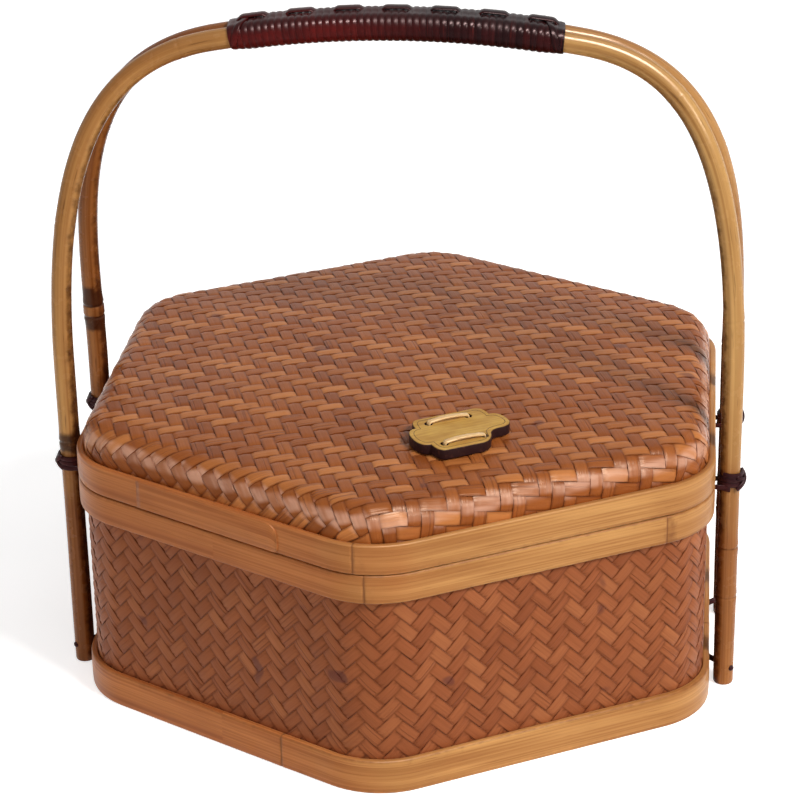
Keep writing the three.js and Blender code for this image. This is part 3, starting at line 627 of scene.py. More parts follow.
def hexagon_points(half_flat, places):
    """Points and outward directions at distances round the outline, as two arrays of x and y."""
    places = np.asarray(places, float)
    radius = corner_radius(half_flat)
    run = (half_flat - radius) * math.tan(SIXTH / 2)
    side = side_length(half_flat)
    number = np.floor(places / side + 0.5)
    rest = places - number * side
    level = np.clip(rest, -run, run)
    turn = (rest - level) / radius
    local_x = half_flat - radius + radius * np.cos(turn)
    local_y = level + radius * np.sin(turn)
    angle = number * SIXTH
    points = np.stack(
        [
            local_x * np.cos(angle) - local_y * np.sin(angle),
            local_x * np.sin(angle) + local_y * np.cos(angle),
        ],
        axis=-1,
    )
    outward = np.stack([np.cos(angle + turn), np.sin(angle + turn)], axis=-1)
    return points, outward


def inside_hexagon(point, half_flat):
    """True inside the outline with round corners."""
    radius = corner_radius(half_flat)
    angle = round(math.atan2(point[1], point[0]) / SIXTH) * SIXTH
    level = point[0] * math.cos(angle) + point[1] * math.sin(angle)
    sideways = abs(point[1] * math.cos(angle) - point[0] * math.sin(angle))
    past_flat = max(level - (half_flat - radius), 0)
    past_run = max(sideways - (half_flat - radius) * math.tan(SIXTH / 2), 0)
    return math.hypot(past_flat, past_run) < radius


print("outline of the bands", round(6 * side_length(HALF_WIDTH), 3), "m")

# %% [markdown]
# ## Weaving with Geometry Nodes
# A weaver's rule is short: each strip goes over two and under two, and the next one starts one
# strip later. So the strips are one thin box each, copied along the edge, and a formula moves
# every point of every copy. The trees of the wall, the sheets and the windings share these steps.

# %% Steps that the trees share
OVER_TWO = math.pi / 2
WAVE_EDGE = 0.68
NARROWEST, WIDEST = 0.95, 1.01
TONE_SPREAD = 0.24
TONE_SEED_SHIFT = 5.0
SHARP_EDGE = 0.8


def read_named(tree, name, kind):
    return first_of(tree, "GeometryNodeInputNamedAttribute", {"Name": name}, data_type=kind)


def store(mesh, name, value, kind):
    values = {"Geometry": mesh, "Name": name, "Value": value}
    return first_of(mesh.tree, "GeometryNodeStoreNamedAttribute", values, data_type=kind)


def marked_box(tree, steps, steps_across):
    """A box of size 1 whose points remember their place on it, as the attribute local."""
    cells = {"Size": (1.0, 1.0, 1.0), "Vertices X": steps, "Vertices Y": steps_across, "Vertices Z": 2}
    box = first_of(tree, "GeometryNodeMeshCube", cells)
    return store(box, "local", first_of(tree, "GeometryNodeInputPosition"), "FLOAT_VECTOR")


def copy_strips(points, steps):
    """Puts a thin box on every point: the joined mesh, the place on the box and the strip's number."""
    tree = points.tree
    values = {"Points": points, "Instance": marked_box(tree, steps, 3)}
    copies = first_of(tree, "GeometryNodeInstanceOnPoints", values)
    joined = first_of(tree, "GeometryNodeRealizeInstances", {0: copies})
    return joined, read_named(tree, "local", "FLOAT_VECTOR"), read_named(tree, "strip", "FLOAT")


def weave_height(crossing, number, phase, height):
    """Level and height in the weave: over two crossing strips, then under two."""
    wave = calc("COSINE", (crossing + number + phase) * OVER_TWO)
    level = ramp(wave, -WAVE_EDGE, WAVE_EDGE, -1.0, 1.0)
    return level, level * height


def random_share(number, seed, low, high):
    values = {"Min": low, "Max": high, "ID": number, "Seed": seed}
    return first_of(number.tree, "FunctionNodeRandomValue", values, data_type="FLOAT")


def strip_width(number, given):
    return given["Width"] * random_share(number, given["Seed"], NARROWEST, WIDEST)


def strip_tone(number, given):
    return random_share(number, given["Seed"] + TONE_SEED_SHIFT, -TONE_SPREAD, TONE_SPREAD) + given["Tone"]


def crown_of(v, w, height):
    """How far the outer face swells in the middle of its width."""
    return (0.25 - v * v) * 4.0 * height * calc("GREATER_THAN", w, 0.0)


def outline_of(mesh):
    """The outline as a curve, and its length."""
    curve = first_of(mesh.tree, "GeometryNodeMeshToCurve", {"Mesh": mesh})
    return curve, first_of(mesh.tree, "GeometryNodeCurveLength", {"Curve": curve})


def place_on(curve, turns, axis):
    """Place on the outline after so many turns, and the outward direction square to axis."""
    values = {"Curves": curve, "Factor": calc("FRACT", turns)}
    found = outputs_of(add(curve.tree, "GeometryNodeSampleCurve", values, mode="FACTOR"))
    return found["Position"], calc_vector("NORMALIZE", calc_vector("CROSS_PRODUCT", found["Tangent"], axis))


def finish_strips(mesh, position, lay, tone, material):
    """Moves the points, keeps what the material reads, and ends the tree."""
    tree = mesh.tree
    mesh = first_of(tree, "GeometryNodeSetPosition", {"Geometry": mesh, "Position": position})
    mesh = store(store(mesh, "lay", lay, "FLOAT_VECTOR"), "tone", tone, "FLOAT")
    angle = outputs_of(add(tree, "GeometryNodeInputMeshEdgeAngle"))["Unsigned Angle"]
    values = {"Geometry": mesh, "Selection": calc("GREATER_THAN", angle, SHARP_EDGE), "Shade Smooth": False}
    mesh = first_of(tree, "GeometryNodeSetShadeSmooth", values, domain="EDGE")
    mesh = first_of(tree, "GeometryNodeSetShadeSmooth", {"Geometry": mesh, "Shade Smooth": True})
    mesh = first_of(tree, "GeometryNodeRealizeInstances", {0: mesh})
    mesh = first_of(tree, "GeometryNodeSetMaterial", {"Geometry": mesh, "Material": material})
    add(tree, "NodeGroupOutput", {"Geometry": mesh})


def grow(name, base, tree, **settings):
    """Runs a tree on a mesh and keeps the result as a plain mesh object."""
    piece = new_object(name, base)
    modifier = piece.modifiers.new("build", "NODES")
    modifier.node_group = tree
    sockets = {item.name: item.identifier for item in tree.interface.items_tree if item.in_out == "INPUT"}
    for label, value in {"Seed": SEED, **settings}.items():
        modifier[sockets[label.replace("_", " ")]] = value
    bpy.context.view_layer.update()
    depsgraph = bpy.context.evaluated_depsgraph_get()
    made = piece.evaluated_get(depsgraph)
    mesh = bpy.data.meshes.new_from_object(made, preserve_all_data_layers=True, depsgraph=depsgraph)
    piece.modifiers.clear()
    piece.data = mesh
    mesh.name = name
    print(name, len(mesh.polygons), "faces")
    return piece


def settle(piece, body, slot, *nodes):
    """Says what a finished piece moves with, and hides the imported parts that it stands for. slot is not
    used.
    """
    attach(piece, body)
    if nodes:
        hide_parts(*nodes)


print("shared steps ready")

# %% [markdown]
# ### The wall
# The wall's strips climb at about 45 degrees, half of them to the right and half to the left, 118
# each way. Over two and under two makes stacked V shapes in upright columns. A tree maps them onto
# the outline: the distance round it is the strip's number, plus its height for a climbing strip.

# %% Tree of the wall
WALL_STRIPS = 118
WALL_CLIMB = 6.88 * MM
WALL_FOOT = 1.6 * MM
WALL_HEAD_GAP = 0.6 * MM
STRIP_THICKNESS = 0.5 * MM
STRIP_CROWN = 0.24 * MM
WEAVE_HEIGHT = 0.42 * MM
WALL_MIDDLE = WALL_OUTER - WALL_THICKNESS / 2
V_TIP_ALONG = 1.6 * MM
V_TIP_HEIGHT = 52.2 * MM
STRIP_INPUTS = ["Phase", "Width", "Thickness", "Wave", "Crown", "Tone"]


def closed_line(name, corners):
    mesh = bpy.data.meshes.new(name)
    edges = [(number, (number + 1) % len(corners)) for number in range(len(corners))]
    mesh.from_pydata(corners, edges, [])
    return mesh


def outline_mesh(name, half_flat, steps):
    places = np.arange(6 * steps) * side_length(half_flat) / steps
    points, _ = hexagon_points(half_flat, places)
    return closed_line(name, [(x, y, 0.0) for x, y in points])


def build_wall_tree():
    inputs = {
        SHAPE: ["Geometry"],
        WHOLE: ["Strips", "Steps", "Seed"],
        FLOAT: ["Lean", "Start", "Foot", "Head", "Climb", "Tip height", *STRIP_INPUTS],
        FINISH: ["Material"],
    }
    tree, given = new_group("wall_weave", "GeometryNodeTree", inputs, {"Geometry": SHAPE})
    curve, length = outline_of(given["Geometry"])
    pitch = length / given["Strips"]
    points = first_of(tree, "GeometryNodePoints", {"Count": given["Strips"]})
    points = store(points, "strip", first_of(tree, "GeometryNodeInputIndex"), "FLOAT")
    mesh, local, number = copy_strips(points, given["Steps"])
    u, v, w = parts_of(local)
    z = given["Foot"] + (u + 0.5) * (given["Head"] - given["Foot"])
    lean = (z - given["Tip height"]) / given["Climb"] * given["Lean"]
    width = strip_width(number, given)
    strips_round = number + 0.5 + v * width + lean
    level, raised = weave_height(strips_round + lean, number, given["Phase"], given["Wave"])
    middle, outward = place_on(curve, (strips_round * pitch + given["Start"]) / length, (0, 0, 1))
    out = raised + crown_of(v, w, given["Crown"]) + w * given["Thickness"]
    position = middle + outward * out + vector_of(0.0, 0.0, z)
    lean_share = pitch / given["Climb"]
    slant = calc("SQRT", lean_share * lean_share + 1.0)
    lay = vector_of(z * slant, v * width * pitch / slant, level)
    finish_strips(mesh, position, lay, strip_tone(number, given), given["Material"])
    return tree


wall_tree = build_wall_tree()
print("wall tree", len(wall_tree.nodes), "nodes")

# %% Weave the wall
WALL_STEPS = 82
STRIP_SETTINGS = {"Thickness": STRIP_THICKNESS, "Wave": WEAVE_HEIGHT, "Crown": STRIP_CROWN}
wall_side = side_length(WALL_MIDDLE)
wall_pitch = 6 * wall_side / WALL_STRIPS
for name, lean, phase, width, tone in (
    ("wall_strips_falling", -1.0, -1.0, 0.985, 0.52),
    ("wall_strips_rising", 1.0, -3.0, 0.99, 0.46),
):
    piece = grow(
        name,
        outline_mesh(name, WALL_MIDDLE, 24),
        wall_tree,
        Strips=WALL_STRIPS,
        Steps=WALL_STEPS,
        Lean=lean,
        Phase=phase,
        Start=5 * wall_side + V_TIP_ALONG - wall_pitch,
        Foot=WALL_FOOT,
        Head=RIM_TOP - WALL_HEAD_GAP,
        Climb=WALL_CLIMB,
        Tip_height=V_TIP_HEIGHT,
        Width=width,
        Tone=tone,
        Material=wall_strip,
        **STRIP_SETTINGS,
    )
    settle(piece, "basket", "woven_bamboo", "body_wall")

# %% [markdown]
# ### The lid and the base
# The lid is a flat sheet of weave, laid askew and pressed over a former, so its strips run
# straight across and bend down over the shoulder. The tree takes each strip's two ends from its
# points, weaves it flat, and then moves what lies past the flat top round the shoulder: the nearest
# point of the top's outline says where the shoulder starts and which way it falls. The base is the
# same sheet without a shoulder.

# %% Tree of a woven sheet
HEXAGON_FACES = (0, SIXTH, 2 * SIXTH)


def build_sheet_tree():
    inputs = {
        SHAPE: ["Geometry"],
        THING: ["Top"],
        WHOLE: ["Steps", "Seed"],
        VECTOR: ["Run", "Origin"],
        FLOAT: ["Pitch", "Height", "Reach", "Rise", "Dome", "Half flat", *STRIP_INPUTS],
        FINISH: ["Material"],
    }
    tree, given = new_group("sheet_weave", "GeometryNodeTree", inputs, {"Geometry": SHAPE})
    mesh, local, number = copy_strips(given["Geometry"], given["Steps"])
    start, end = (read_named(tree, label, "FLOAT_VECTOR") for label in ("start", "end"))
    u, v, w = parts_of(local)
    share = u + 0.5
    whole = end - start
    across = v * strip_width(number, given)
    sideways = calc_vector("CROSS_PRODUCT", (0, 0, 1), given["Run"])
    flat = start + whole * share + sideways * across
    crossing = calc_vector("DOT_PRODUCT", flat - given["Origin"], given["Run"]) / given["Pitch"]
    level, raised = weave_height(crossing, number, given["Phase"], given["Wave"])
    top = outputs_of(add(tree, "GeometryNodeObjectInfo", {"Object": given["Top"]}))["Geometry"]
    values = {"Geometry": top, "Sample Position": flat}
    near = outputs_of(add(tree, "GeometryNodeProximity", values, target_element="FACES"))
    edge, past = near["Position"], near["Distance"]
    away = calc_vector("NORMALIZE", flat - edge)
    radius = (given["Reach"] + given["Rise"]) * 0.5
    turn = calc("MINIMUM", past / radius, OVER_TWO)
    down = calc("MAXIMUM", past - radius * OVER_TWO, 0.0)
    sine, cosine = calc("SINE", turn), calc("COSINE", turn)
    drop = given["Rise"] * (1.0 - cosine)
    furthest = 0.0
    for angle in HEXAGON_FACES:
        direction = (math.cos(angle), math.sin(angle), 0.0)
        furthest = calc("MAXIMUM", calc("ABSOLUTE", calc_vector("DOT_PRODUCT", edge, direction)), furthest)
    share_out = furthest / given["Half flat"]
    z = given["Height"] - (drop + down) + given["Dome"] * (1.0 - share_out * share_out)
    position = edge + away * (given["Reach"] * sine) + vector_of(0.0, 0.0, z)
    normal = away * sine + vector_of(0.0, 0.0, cosine)
    position += normal * (raised + crown_of(v, w, given["Crown"]) + w * given["Thickness"])
    lay = vector_of(share * calc_vector("LENGTH", whole), across, level)
    finish_strips(mesh, position, lay, strip_tone(number, given), given["Material"])
    return tree


sheet_tree = build_sheet_tree()
print("sheet tree", len(sheet_tree.nodes), "nodes")

# %% Lay out the strips of a sheet
SHORTEST_STRIP = 9 * MM
SEARCH_STEP = 0.25 * MM
SEARCH_REACH = 1.3
ROWS_REACH = 1.4
ROWS_SPARE = 20
SHEET_COVER = 0.99


def strip_points(name, half_flat, run, sideways, origin, pitch):
    """One point for each strip that crosses the outline, with its two ends and its number."""
    starts, ends, numbers = [], [], []
    most = math.ceil(ROWS_REACH * half_flat / pitch) + ROWS_SPARE
    fine = np.arange(-SEARCH_REACH * half_flat, SEARCH_REACH * half_flat, SEARCH_STEP)
    for number in range(-most, most):
        middle = origin + sideways * ((number + 0.5) * pitch)
        middle -= run * float(middle @ run)
        inside = [place for place in fine if inside_hexagon(middle + run * place, half_flat)]
        if inside and inside[-1] - inside[0] > SHORTEST_STRIP:
            starts.append((*(middle + run * inside[0]), 0.0))
            ends.append((*(middle + run * inside[-1]), 0.0))
            numbers.append(float(number))
    mesh = bpy.data.meshes.new(name)
    mesh.from_pydata([(0.0, 0.0, 0.0)] * len(starts), [], [])
    fill_attribute(mesh, "start", "FLOAT_VECTOR", starts)
    fill_attribute(mesh, "end", "FLOAT_VECTOR", ends)
    fill_attribute(mesh, "strip", "FLOAT", numbers)
    return mesh


def filled_outline(name, half_flat):
    """A flat plate that stands for the level part of a sheet; only the tree reads it."""
    outline = outline_mesh(name, half_flat, 16)
    corners = [vertex.co[:] for vertex in outline.vertices]
    plate = bpy.data.meshes.new(name)
    plate.from_pydata(corners, [], [list(range(len(corners)))])
    return bpy.data.objects.new(name, plate)


def directions(angle):
    """Two directions square to each other, the first turned from X by angle."""
    return np.array([math.cos(angle), math.sin(angle)]), np.array([-math.sin(angle), math.cos(angle)])


def weave_sheet(name, body, node, angle, origin, pitches, outer, tones, **settings):
    """Two pieces, the rows and the columns of one woven sheet."""
    across, upward = directions(angle)
    row_pitch, column_pitch = pitches
    for part, run, sideways, own, other, phase, tone in (
        ("rows", across, upward, row_pitch, column_pitch, -1.0, tones[0]),
        ("columns", upward, across, column_pitch, row_pitch, -3.0, tones[1]),
    ):
        label = f"{name}_{part}"
        piece = grow(
            label,
            strip_points(label, outer, run, sideways, origin, own),
            sheet_tree,
            Run=(*run, 0.0),
            Origin=(*origin, 0.0),
            Pitch=other,
            Phase=phase,
            Width=own * SHEET_COVER,
            Tone=tone,
            **settings,
        )
        settle(piece, body, "woven_bamboo", node)


print("sheet layout ready")

# %% Weave the lid
LID_ANGLE = math.radians(19)
LID_ROW_PITCH = 5.07 * MM
LID_COLUMN_PITCH = 5.0 * MM
LID_FLOAT_PLACE = np.array([-4.6, -57.8]) * MM
LID_EDGE_HIDDEN = 9 * MM

lid_half_flat = WALL_OUTER - SHOULDER_BEND
lid_reach = WALL_MIDDLE - lid_half_flat
lid_across, lid_upward = directions(LID_ANGLE)
lid_top = filled_outline("lid_top_level", lid_half_flat)
weave_sheet(
    "lid",
    "lid",
    "lid_shell",
    LID_ANGLE,
    LID_FLOAT_PLACE - lid_across * LID_COLUMN_PITCH - lid_upward * LID_ROW_PITCH / 2,
    (LID_ROW_PITCH, LID_COLUMN_PITCH),
    lid_half_flat + lid_reach * OVER_TWO + LID_EDGE_HIDDEN,
    (0.7, 0.4),
    Top=lid_top,
    Steps=176,
    Height=LID_TOP + SHOULDER_RISE - WALL_THICKNESS / 2,
    Reach=lid_reach,
    Rise=lid_reach,
    Dome=LID_CROWN,
    Half_flat=lid_half_flat,
    Material=lid_strip,
    **STRIP_SETTINGS,
)

# %% Weave the base
BASE_PITCH = 6.2 * MM
BASE_PLACE = np.array([1.0, 2.0]) * MM
BASE_EDGE_GAP = 0.5 * MM
BASE_TOP_MORE = 5 * MM
base_half_flat = WALL_OUTER - WALL_THICKNESS - BASE_EDGE_GAP
base_top = filled_outline("base_level", base_half_flat + BASE_TOP_MORE)
weave_sheet(
    "base",
    "basket",
    "base_panel",
    0.0,
    BASE_PLACE,
    (BASE_PITCH, BASE_PITCH),
    base_half_flat,
    (0.55, 0.45),
    Top=base_top,
    Steps=120,
    Thickness=0.45 * MM,
    Wave=0.36 * MM,
    Crown=0.06 * MM,
    Height=(PANEL_LOW + PANEL_TOP) / 2,
    Reach=1 * MM,
    Rise=1 * MM,
    Dome=0.0,
    Half_flat=base_half_flat,
    Material=wall_strip,
)
for helper in (lid_top, base_top):
    bpy.data.objects.remove(helper)

# %% [markdown]
# ## Bent hoops
# Each band is one strip of bamboo, shaved, heated and bent round the corners. A closed grid is
# enough: the section's points go round, and a row of them is set at each place on the outline. The
# UV map is laid in metres, along the hoop and round its section, so the grain keeps its size.

# %% Grid meshes with a UV map in metres


def grid_piece(name, points, along, around, closed, material, marks=None):
    """A tube of rings. points is (rings, points in a ring, 3); closed joins the last ring to the first.
    marks, for the attribute joint, is (rings, 1) or (rings, points in a ring)."""
    rings, count = points.shape[:2]
    faces, corners = [], []
    last = rings if closed else rings - 1
    for ring in range(last):
        after = (ring + 1) % rings
        for side in range(count):
            beside = (side + 1) % count
            here, there = ring * count, after * count
            faces.append((here + side, here + beside, there + beside, there + side))
            u0, u1 = along[ring], along[ring + 1]
            v0, v1 = around[side], around[side + 1]
            corners += [(u0, v0), (u0, v1), (u1, v1), (u1, v0)]
    if not closed:
        for ring, order in ((0, range(count - 1, -1, -1)), (rings - 1, range(count))):
            faces.append([ring * count + side for side in order])
            corners += [(along[ring], around[side]) for side in order]
    mesh = bpy.data.meshes.new(name)
    mesh.from_pydata([tuple(point) for point in points.reshape(-1, 3)], [], faces)
    mesh.uv_layers.new(name="metres").data.foreach_set("uv", np.array(corners, np.float32).ravel())
    if marks is not None:
        fill_attribute(mesh, "joint", "FLOAT", np.broadcast_to(marks, (rings, count)))
    mesh.materials.append(material)
    make_smooth(mesh)
    mesh.update()
    volume = sum(mesh.vertices[face.vertices[0]].co.dot(face.normal) * face.area for face in mesh.polygons)
    if volume < 0:
        mesh.flip_normals()
    return new_object(name, mesh)


def distances(points):
    """Running distance along points, from 0, with the way back to the first point added."""
    steps = np.linalg.norm(np.roll(points, -1, axis=0) - points, axis=1)
    return np.concatenate([[0.0], np.cumsum(steps)])


print("grid helper ready")

# %% Section and outline of a hoop
HOOP_STEP = 3 * MM
EDGE_ROUND = 0.75 * MM
EDGE_STEPS = 3
JOINT_HALF = 0.35 * MM
LINE_HALF = 1.3 * JOINT_HALF
JOINT_RIDGE = 0.12 * MM
JOINT_SPREAD = 4 * MM
JOINT_SMEAR = 8 * MM
SMEAR_SHARE = 0.3
# Painted shade in the crease where two bands meet.
SEAM_SHADE_SHARE = 0.55
SEAM_SHADE_DEPTH = 0.7 * MM
STAIN_SHARE = 0.55
STAIN_HALF = 3 * MM
STAIN_WAVE = 0.9 * MM
STAIN_RIPPLE = 900
HOOP_BULGE = 0.1 * MM
HOOP_DRIFT = 0.1 * MM
DRIFT_WAVES = 5
DRIFT_SHIFT = 900
FACE_SHARE = 0.8
NEAR_JOINT = (-4, -3.2, -2.5, -1.8, -1.4, -1, -0.4, 0, 0.4, 1, 1.4, 1.8, 2.5, 3.2, 4)


def rounded_section(thickness, low, high, edge, bulge):
    """Depth from the outer face and height of each point, round a flat section with soft edges."""
    corners = (
        (edge, low + edge, -math.pi / 2, -math.pi),
        (edge, high - edge, math.pi, math.pi / 2),
        (thickness - edge, high - edge, math.pi / 2, 0.0),
        (thickness - edge, low + edge, 0.0, -math.pi / 2),
    )
    section = []
    for depth, height, start, end in corners:
        for step in range(EDGE_STEPS + 1):
            angle = start + (end - start) * step / EDGE_STEPS
            section.append((depth + edge * math.cos(angle), height + edge * math.sin(angle)))
        if start == -math.pi / 2:
            for share in (0.25, 0.5, 0.75):
                rise = 1 - (2 * share - 1) ** 2
                section.append((-bulge * rise, low + edge + share * (high - low - 2 * edge)))
    return np.array(section)


def hoop_places(length, joints):
    """Even places round a hoop, with closer ones at each joint."""
    places = set(np.arange(0, length - HOOP_STEP / 2, HOOP_STEP).round(6))
    for joint in joints:
        places |= {round((joint + offset * MM) % length, 6) for offset in NEAR_JOINT}
    return np.array(sorted(places))


def columns_grid(points, outward, columns):
    """A grid along an outline. columns: how far out each point is, and how high."""
    grid = np.zeros((len(points), len(columns), 3))
    for column, (out, height) in enumerate(columns):
        grid[:, column, :2] = points + outward * out[:, None]
        grid[:, column, 2] = height
    return grid


def groove(far, half):
    """A smooth bump that is 1 at distance 0 and fades out past half."""
    return np.exp(-((far / half) ** 2))


def make_hoop(name, node, body, outer, thickness, start, joints, shaded_edges, stains=()):
    """A bent band whose outer face is at the half width outer; joints are distances from start. shaded_edges
    says which of its edges, low and high, meets another band and gets painted shade in the crease there."""
    low, high = (corner.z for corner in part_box(node))
    length = 6 * side_length(outer)
    places = hoop_places(length, joints)
    points, outward = hexagon_points(outer, places + start)
    section = rounded_section(thickness, low, high, EDGE_ROUND, HOOP_BULGE)
    past = (places[:, None] - np.array(joints)[None] + length / 2) % length - length / 2
    far = np.min(np.abs(past), axis=1)
    ridge = JOINT_RIDGE * (groove(far, JOINT_SPREAD) - 2 * groove(far, JOINT_HALF))
    drift = HOOP_DRIFT * np.sin(places / length * 2 * math.pi * DRIFT_WAVES + outer * DRIFT_SHIFT)
    columns = []
    # Painted shade along each edge that meets another band, in the crease between them.
    seam_shade = np.zeros(len(section))
    for column, (depth, height) in enumerate(section):
        for edge, is_shaded in zip((low, high), shaded_edges):
            if is_shaded and depth < SEAM_SHADE_DEPTH:
                seam_shade[column] += SEAM_SHADE_SHARE * groove(height - edge, EDGE_ROUND)
        face = max(0.0, 1 - max(depth, 0) / (FACE_SHARE * thickness))
        columns.append((-depth + ridge * face + (drift - HOOP_DRIFT) * face, height))
    smear = np.max(np.where(past > 0, SMEAR_SHARE * np.clip(1 - past / JOINT_SMEAR, 0, 1), 0), axis=1)
    marks = np.maximum(np.maximum(groove(far, LINE_HALF), smear)[:, None], seam_shade[None])
    for stain in stains:
        ragged = places[:, None] - stain - STAIN_WAVE * np.sin(section[None, :, 1] * STAIN_RIPPLE)
        marks = np.maximum(marks, STAIN_SHARE * groove(ragged, STAIN_HALF))
    grid = columns_grid(points, outward, columns)
    along = np.append(places, length)
    piece = grid_piece(name, grid, along, distances(section), True, band_bamboo, marks)
    settle(piece, body, "bamboo_band", node)


# %% Bend the five hoops
rim_side = side_length(HALF_WIDTH)
LEFT_FACE = 4 * rim_side
BAND_BITE = 0.4 * MM
LID_JOINTS = np.array([62, 330, 560]) * MM
RIM_JOINTS = np.array([65.8, 184.5, 430, 640]) * MM
BASE_JOINTS = np.array([28, 250, 470, 700]) * MM
COLLAR_JOINTS = np.array([120, 380, 600]) * MM
LINER_JOINTS = np.array([210, 470]) * MM
collar_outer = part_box("rim_collar")[1].x
liner_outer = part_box("base_band_inner")[1].x
outer_thickness = BAND_THICKNESS + BAND_BITE

STAINS = {"rim_hoop": (185.8 * MM, 431 * MM), "base_hoop": (470.5 * MM,)}
# The last column says which edges, low and high, get painted shade where they meet another band.
LOW_ONLY, BOTH, NEITHER = (True, False), (True, True), (False, False)
for name, node, body, outer, thickness, start, joints, shaded_edges in (
    ("lid_hoop", "lid_band", "lid", HALF_WIDTH, outer_thickness, LEFT_FACE, LID_JOINTS, LOW_ONLY),
    ("rim_hoop", "rim_band", "basket", HALF_WIDTH, outer_thickness, LEFT_FACE, RIM_JOINTS, BOTH),
    ("base_hoop", "base_band_outer", "basket", HALF_WIDTH, outer_thickness, LEFT_FACE, BASE_JOINTS, BOTH),
    ("collar_hoop", "rim_collar", "basket", collar_outer, COLLAR_THICKNESS, 0, COLLAR_JOINTS, NEITHER),
    ("liner_hoop", "base_band_inner", "basket", liner_outer, COLLAR_THICKNESS, 0, LINER_JOINTS, NEITHER),
):
    make_hoop(name, node, body, outer, thickness, start, joints, shaded_edges, STAINS.get(name, ()))

# %% [markdown]
# The lid band's strip is longer than once round. Its outer end lies over its start on the front
# left side, with the upper corner rounded off. The lap is thickest at its end and runs out to
# nothing further round.

# %% Lap of the lid band
LAP_END = LEFT_FACE + 30.3 * MM
LAP_LENGTH = 66 * MM
LAP_THICKNESS = 0.5 * MM
LAP_UPPER_ROUND = 5 * MM
LAP_LOWER_ROUND = 1.6 * MM
LAP_EDGE_SHY = 0.35 * MM
LAP_SUNK = 0.5 * MM
LAP_RIM_SHARE = 0.03
LAP_MARK = 0.5
LAP_MARK_HALF = 1.5 * MM
LAP_AROUND = np.array([-LAP_SUNK, 0, 0.1 * MM, 5.5 * MM, 11 * MM, 11.1 * MM, 11.5 * MM, 12 * MM]) + 40 * MM


def corner_cut(back, radius):
    """How much a round corner of that radius takes off at a distance back from the end."""
    rest = np.clip(radius - back, 0, radius)
    return radius - np.sqrt(radius**2 - rest**2)


def make_lap():
    fine = LAP_UPPER_ROUND * (1 - np.cos(np.linspace(0, math.pi / 2, 14)))
    back = np.concatenate([fine, np.linspace(LAP_UPPER_ROUND, LAP_LENGTH, 30)[1:]])
    points, outward = hexagon_points(HALF_WIDTH, LAP_END - back)
    high = LID_TOP - LAP_EDGE_SHY - corner_cut(back, LAP_UPPER_ROUND)
    low = LID_LOW + LAP_EDGE_SHY + corner_cut(back, LAP_LOWER_ROUND)
    thick = LAP_THICKNESS * (1 - back / LAP_LENGTH)
    rim = (high - low) * LAP_RIM_SHARE
    sunk = np.full_like(back, -LAP_SUNK)
    columns = (
        (sunk, low),
        (0.6 * thick, low),
        (thick, low + rim),
        (thick, (low + high) / 2),
        (thick, high - rim),
        (0.6 * thick, high),
        (sunk, high),
    )
    marks = LAP_MARK * groove(back, LAP_MARK_HALF)[:, None]
    grid = columns_grid(points, outward, columns)
    piece = grid_piece("lid_lap", grid, back, LAP_AROUND, False, band_bamboo, marks)
    settle(piece, "lid", "bamboo_band")


make_lap()
print("lap made")

# %% [markdown]
# ## Handle poles
# Two thin canes were steamed and bent into arches, and come together under the grip. Each is a ring of points
# swept along straight legs and smooth bends. A cane swells at its joints and has a sharp groove there, so the
# ring's radius changes along the way. A joint has a place, counted from the left foot or, when it is
# negative, back from the right one, and a strength. Three joints are scorched beside the line, and the side
# that faces the basket gets painted shade, darkest on the legs.

# %% Path of a pole
BENDS = {"front": (27 * MM, 86 * MM, 41 * MM), "back": (5 * MM, 52 * MM, 64 * MM)}
GRIP_SAG = 6 * MM
GRIP_ARC_RADIUS = (GRIP_HALF**2 + GRIP_SAG**2) / (2 * GRIP_SAG)


def bezier(points, count):
    """Points on a curve through its control points, of any degree."""
    share = np.linspace(0, 1, count)[:, None]
    layers = [np.array(point, float) * np.ones((count, 1)) for point in points]
    while len(layers) > 1:
        layers = [first * (1 - share) + second * share for first, second in zip(layers, layers[1:])]
    return layers[0]


def chain(*curves):
    """Curves end to end; a point that two of them share is kept once."""
    return np.concatenate([curves[0]] + [curve[1:] for curve in curves[1:]])


def pole_path(label):
    """Centre line of one arch, from the left foot to the right, and the distance along it."""
    low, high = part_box(f"handle_pole_{label}")
    leg_x = high.x - POLE_RADIUS
    front = label == "front"
    leg_y = low.y + POLE_RADIUS if front else high.y - POLE_RADIUS
    grip_y = high.y - POLE_RADIUS if front else low.y + POLE_RADIUS
    crown_z = high.z - POLE_RADIUS
    start, up, inward = BENDS[label]
    slope = math.asin(GRIP_HALF / GRIP_ARC_RADIUS)
    grip_end = np.array([GRIP_HALF, grip_y, crown_z - GRIP_SAG])
    bend = [
        np.array([leg_x, leg_y, LID_TOP + start]),
        np.array([leg_x, leg_y, LID_TOP + start + up]),
        grip_end + inward * np.array([math.cos(slope), 0, -math.sin(slope)]),
        grip_end,
    ]
    foot = np.array([leg_x, leg_y, 0.0])
    mirror = np.array([-1, 1, 1])
    crown = np.array([0, grip_y, crown_z + GRIP_SAG])
    path = chain(
        bezier([foot * mirror, bend[0] * mirror], 60),
        bezier([point * mirror for point in bend], 120),
        bezier([grip_end * mirror, crown, grip_end], 60),
        bezier(bend[::-1], 120),
        bezier([bend[0], foot], 60),
    )
    run = np.concatenate([[0], np.cumsum(np.linalg.norm(np.diff(path, axis=0), axis=1))])
    return path, run


def path_at(path, run, places):
    return np.stack([np.interp(places, run, path[:, axis]) for axis in range(3)], axis=-1)


print("pole paths ready")

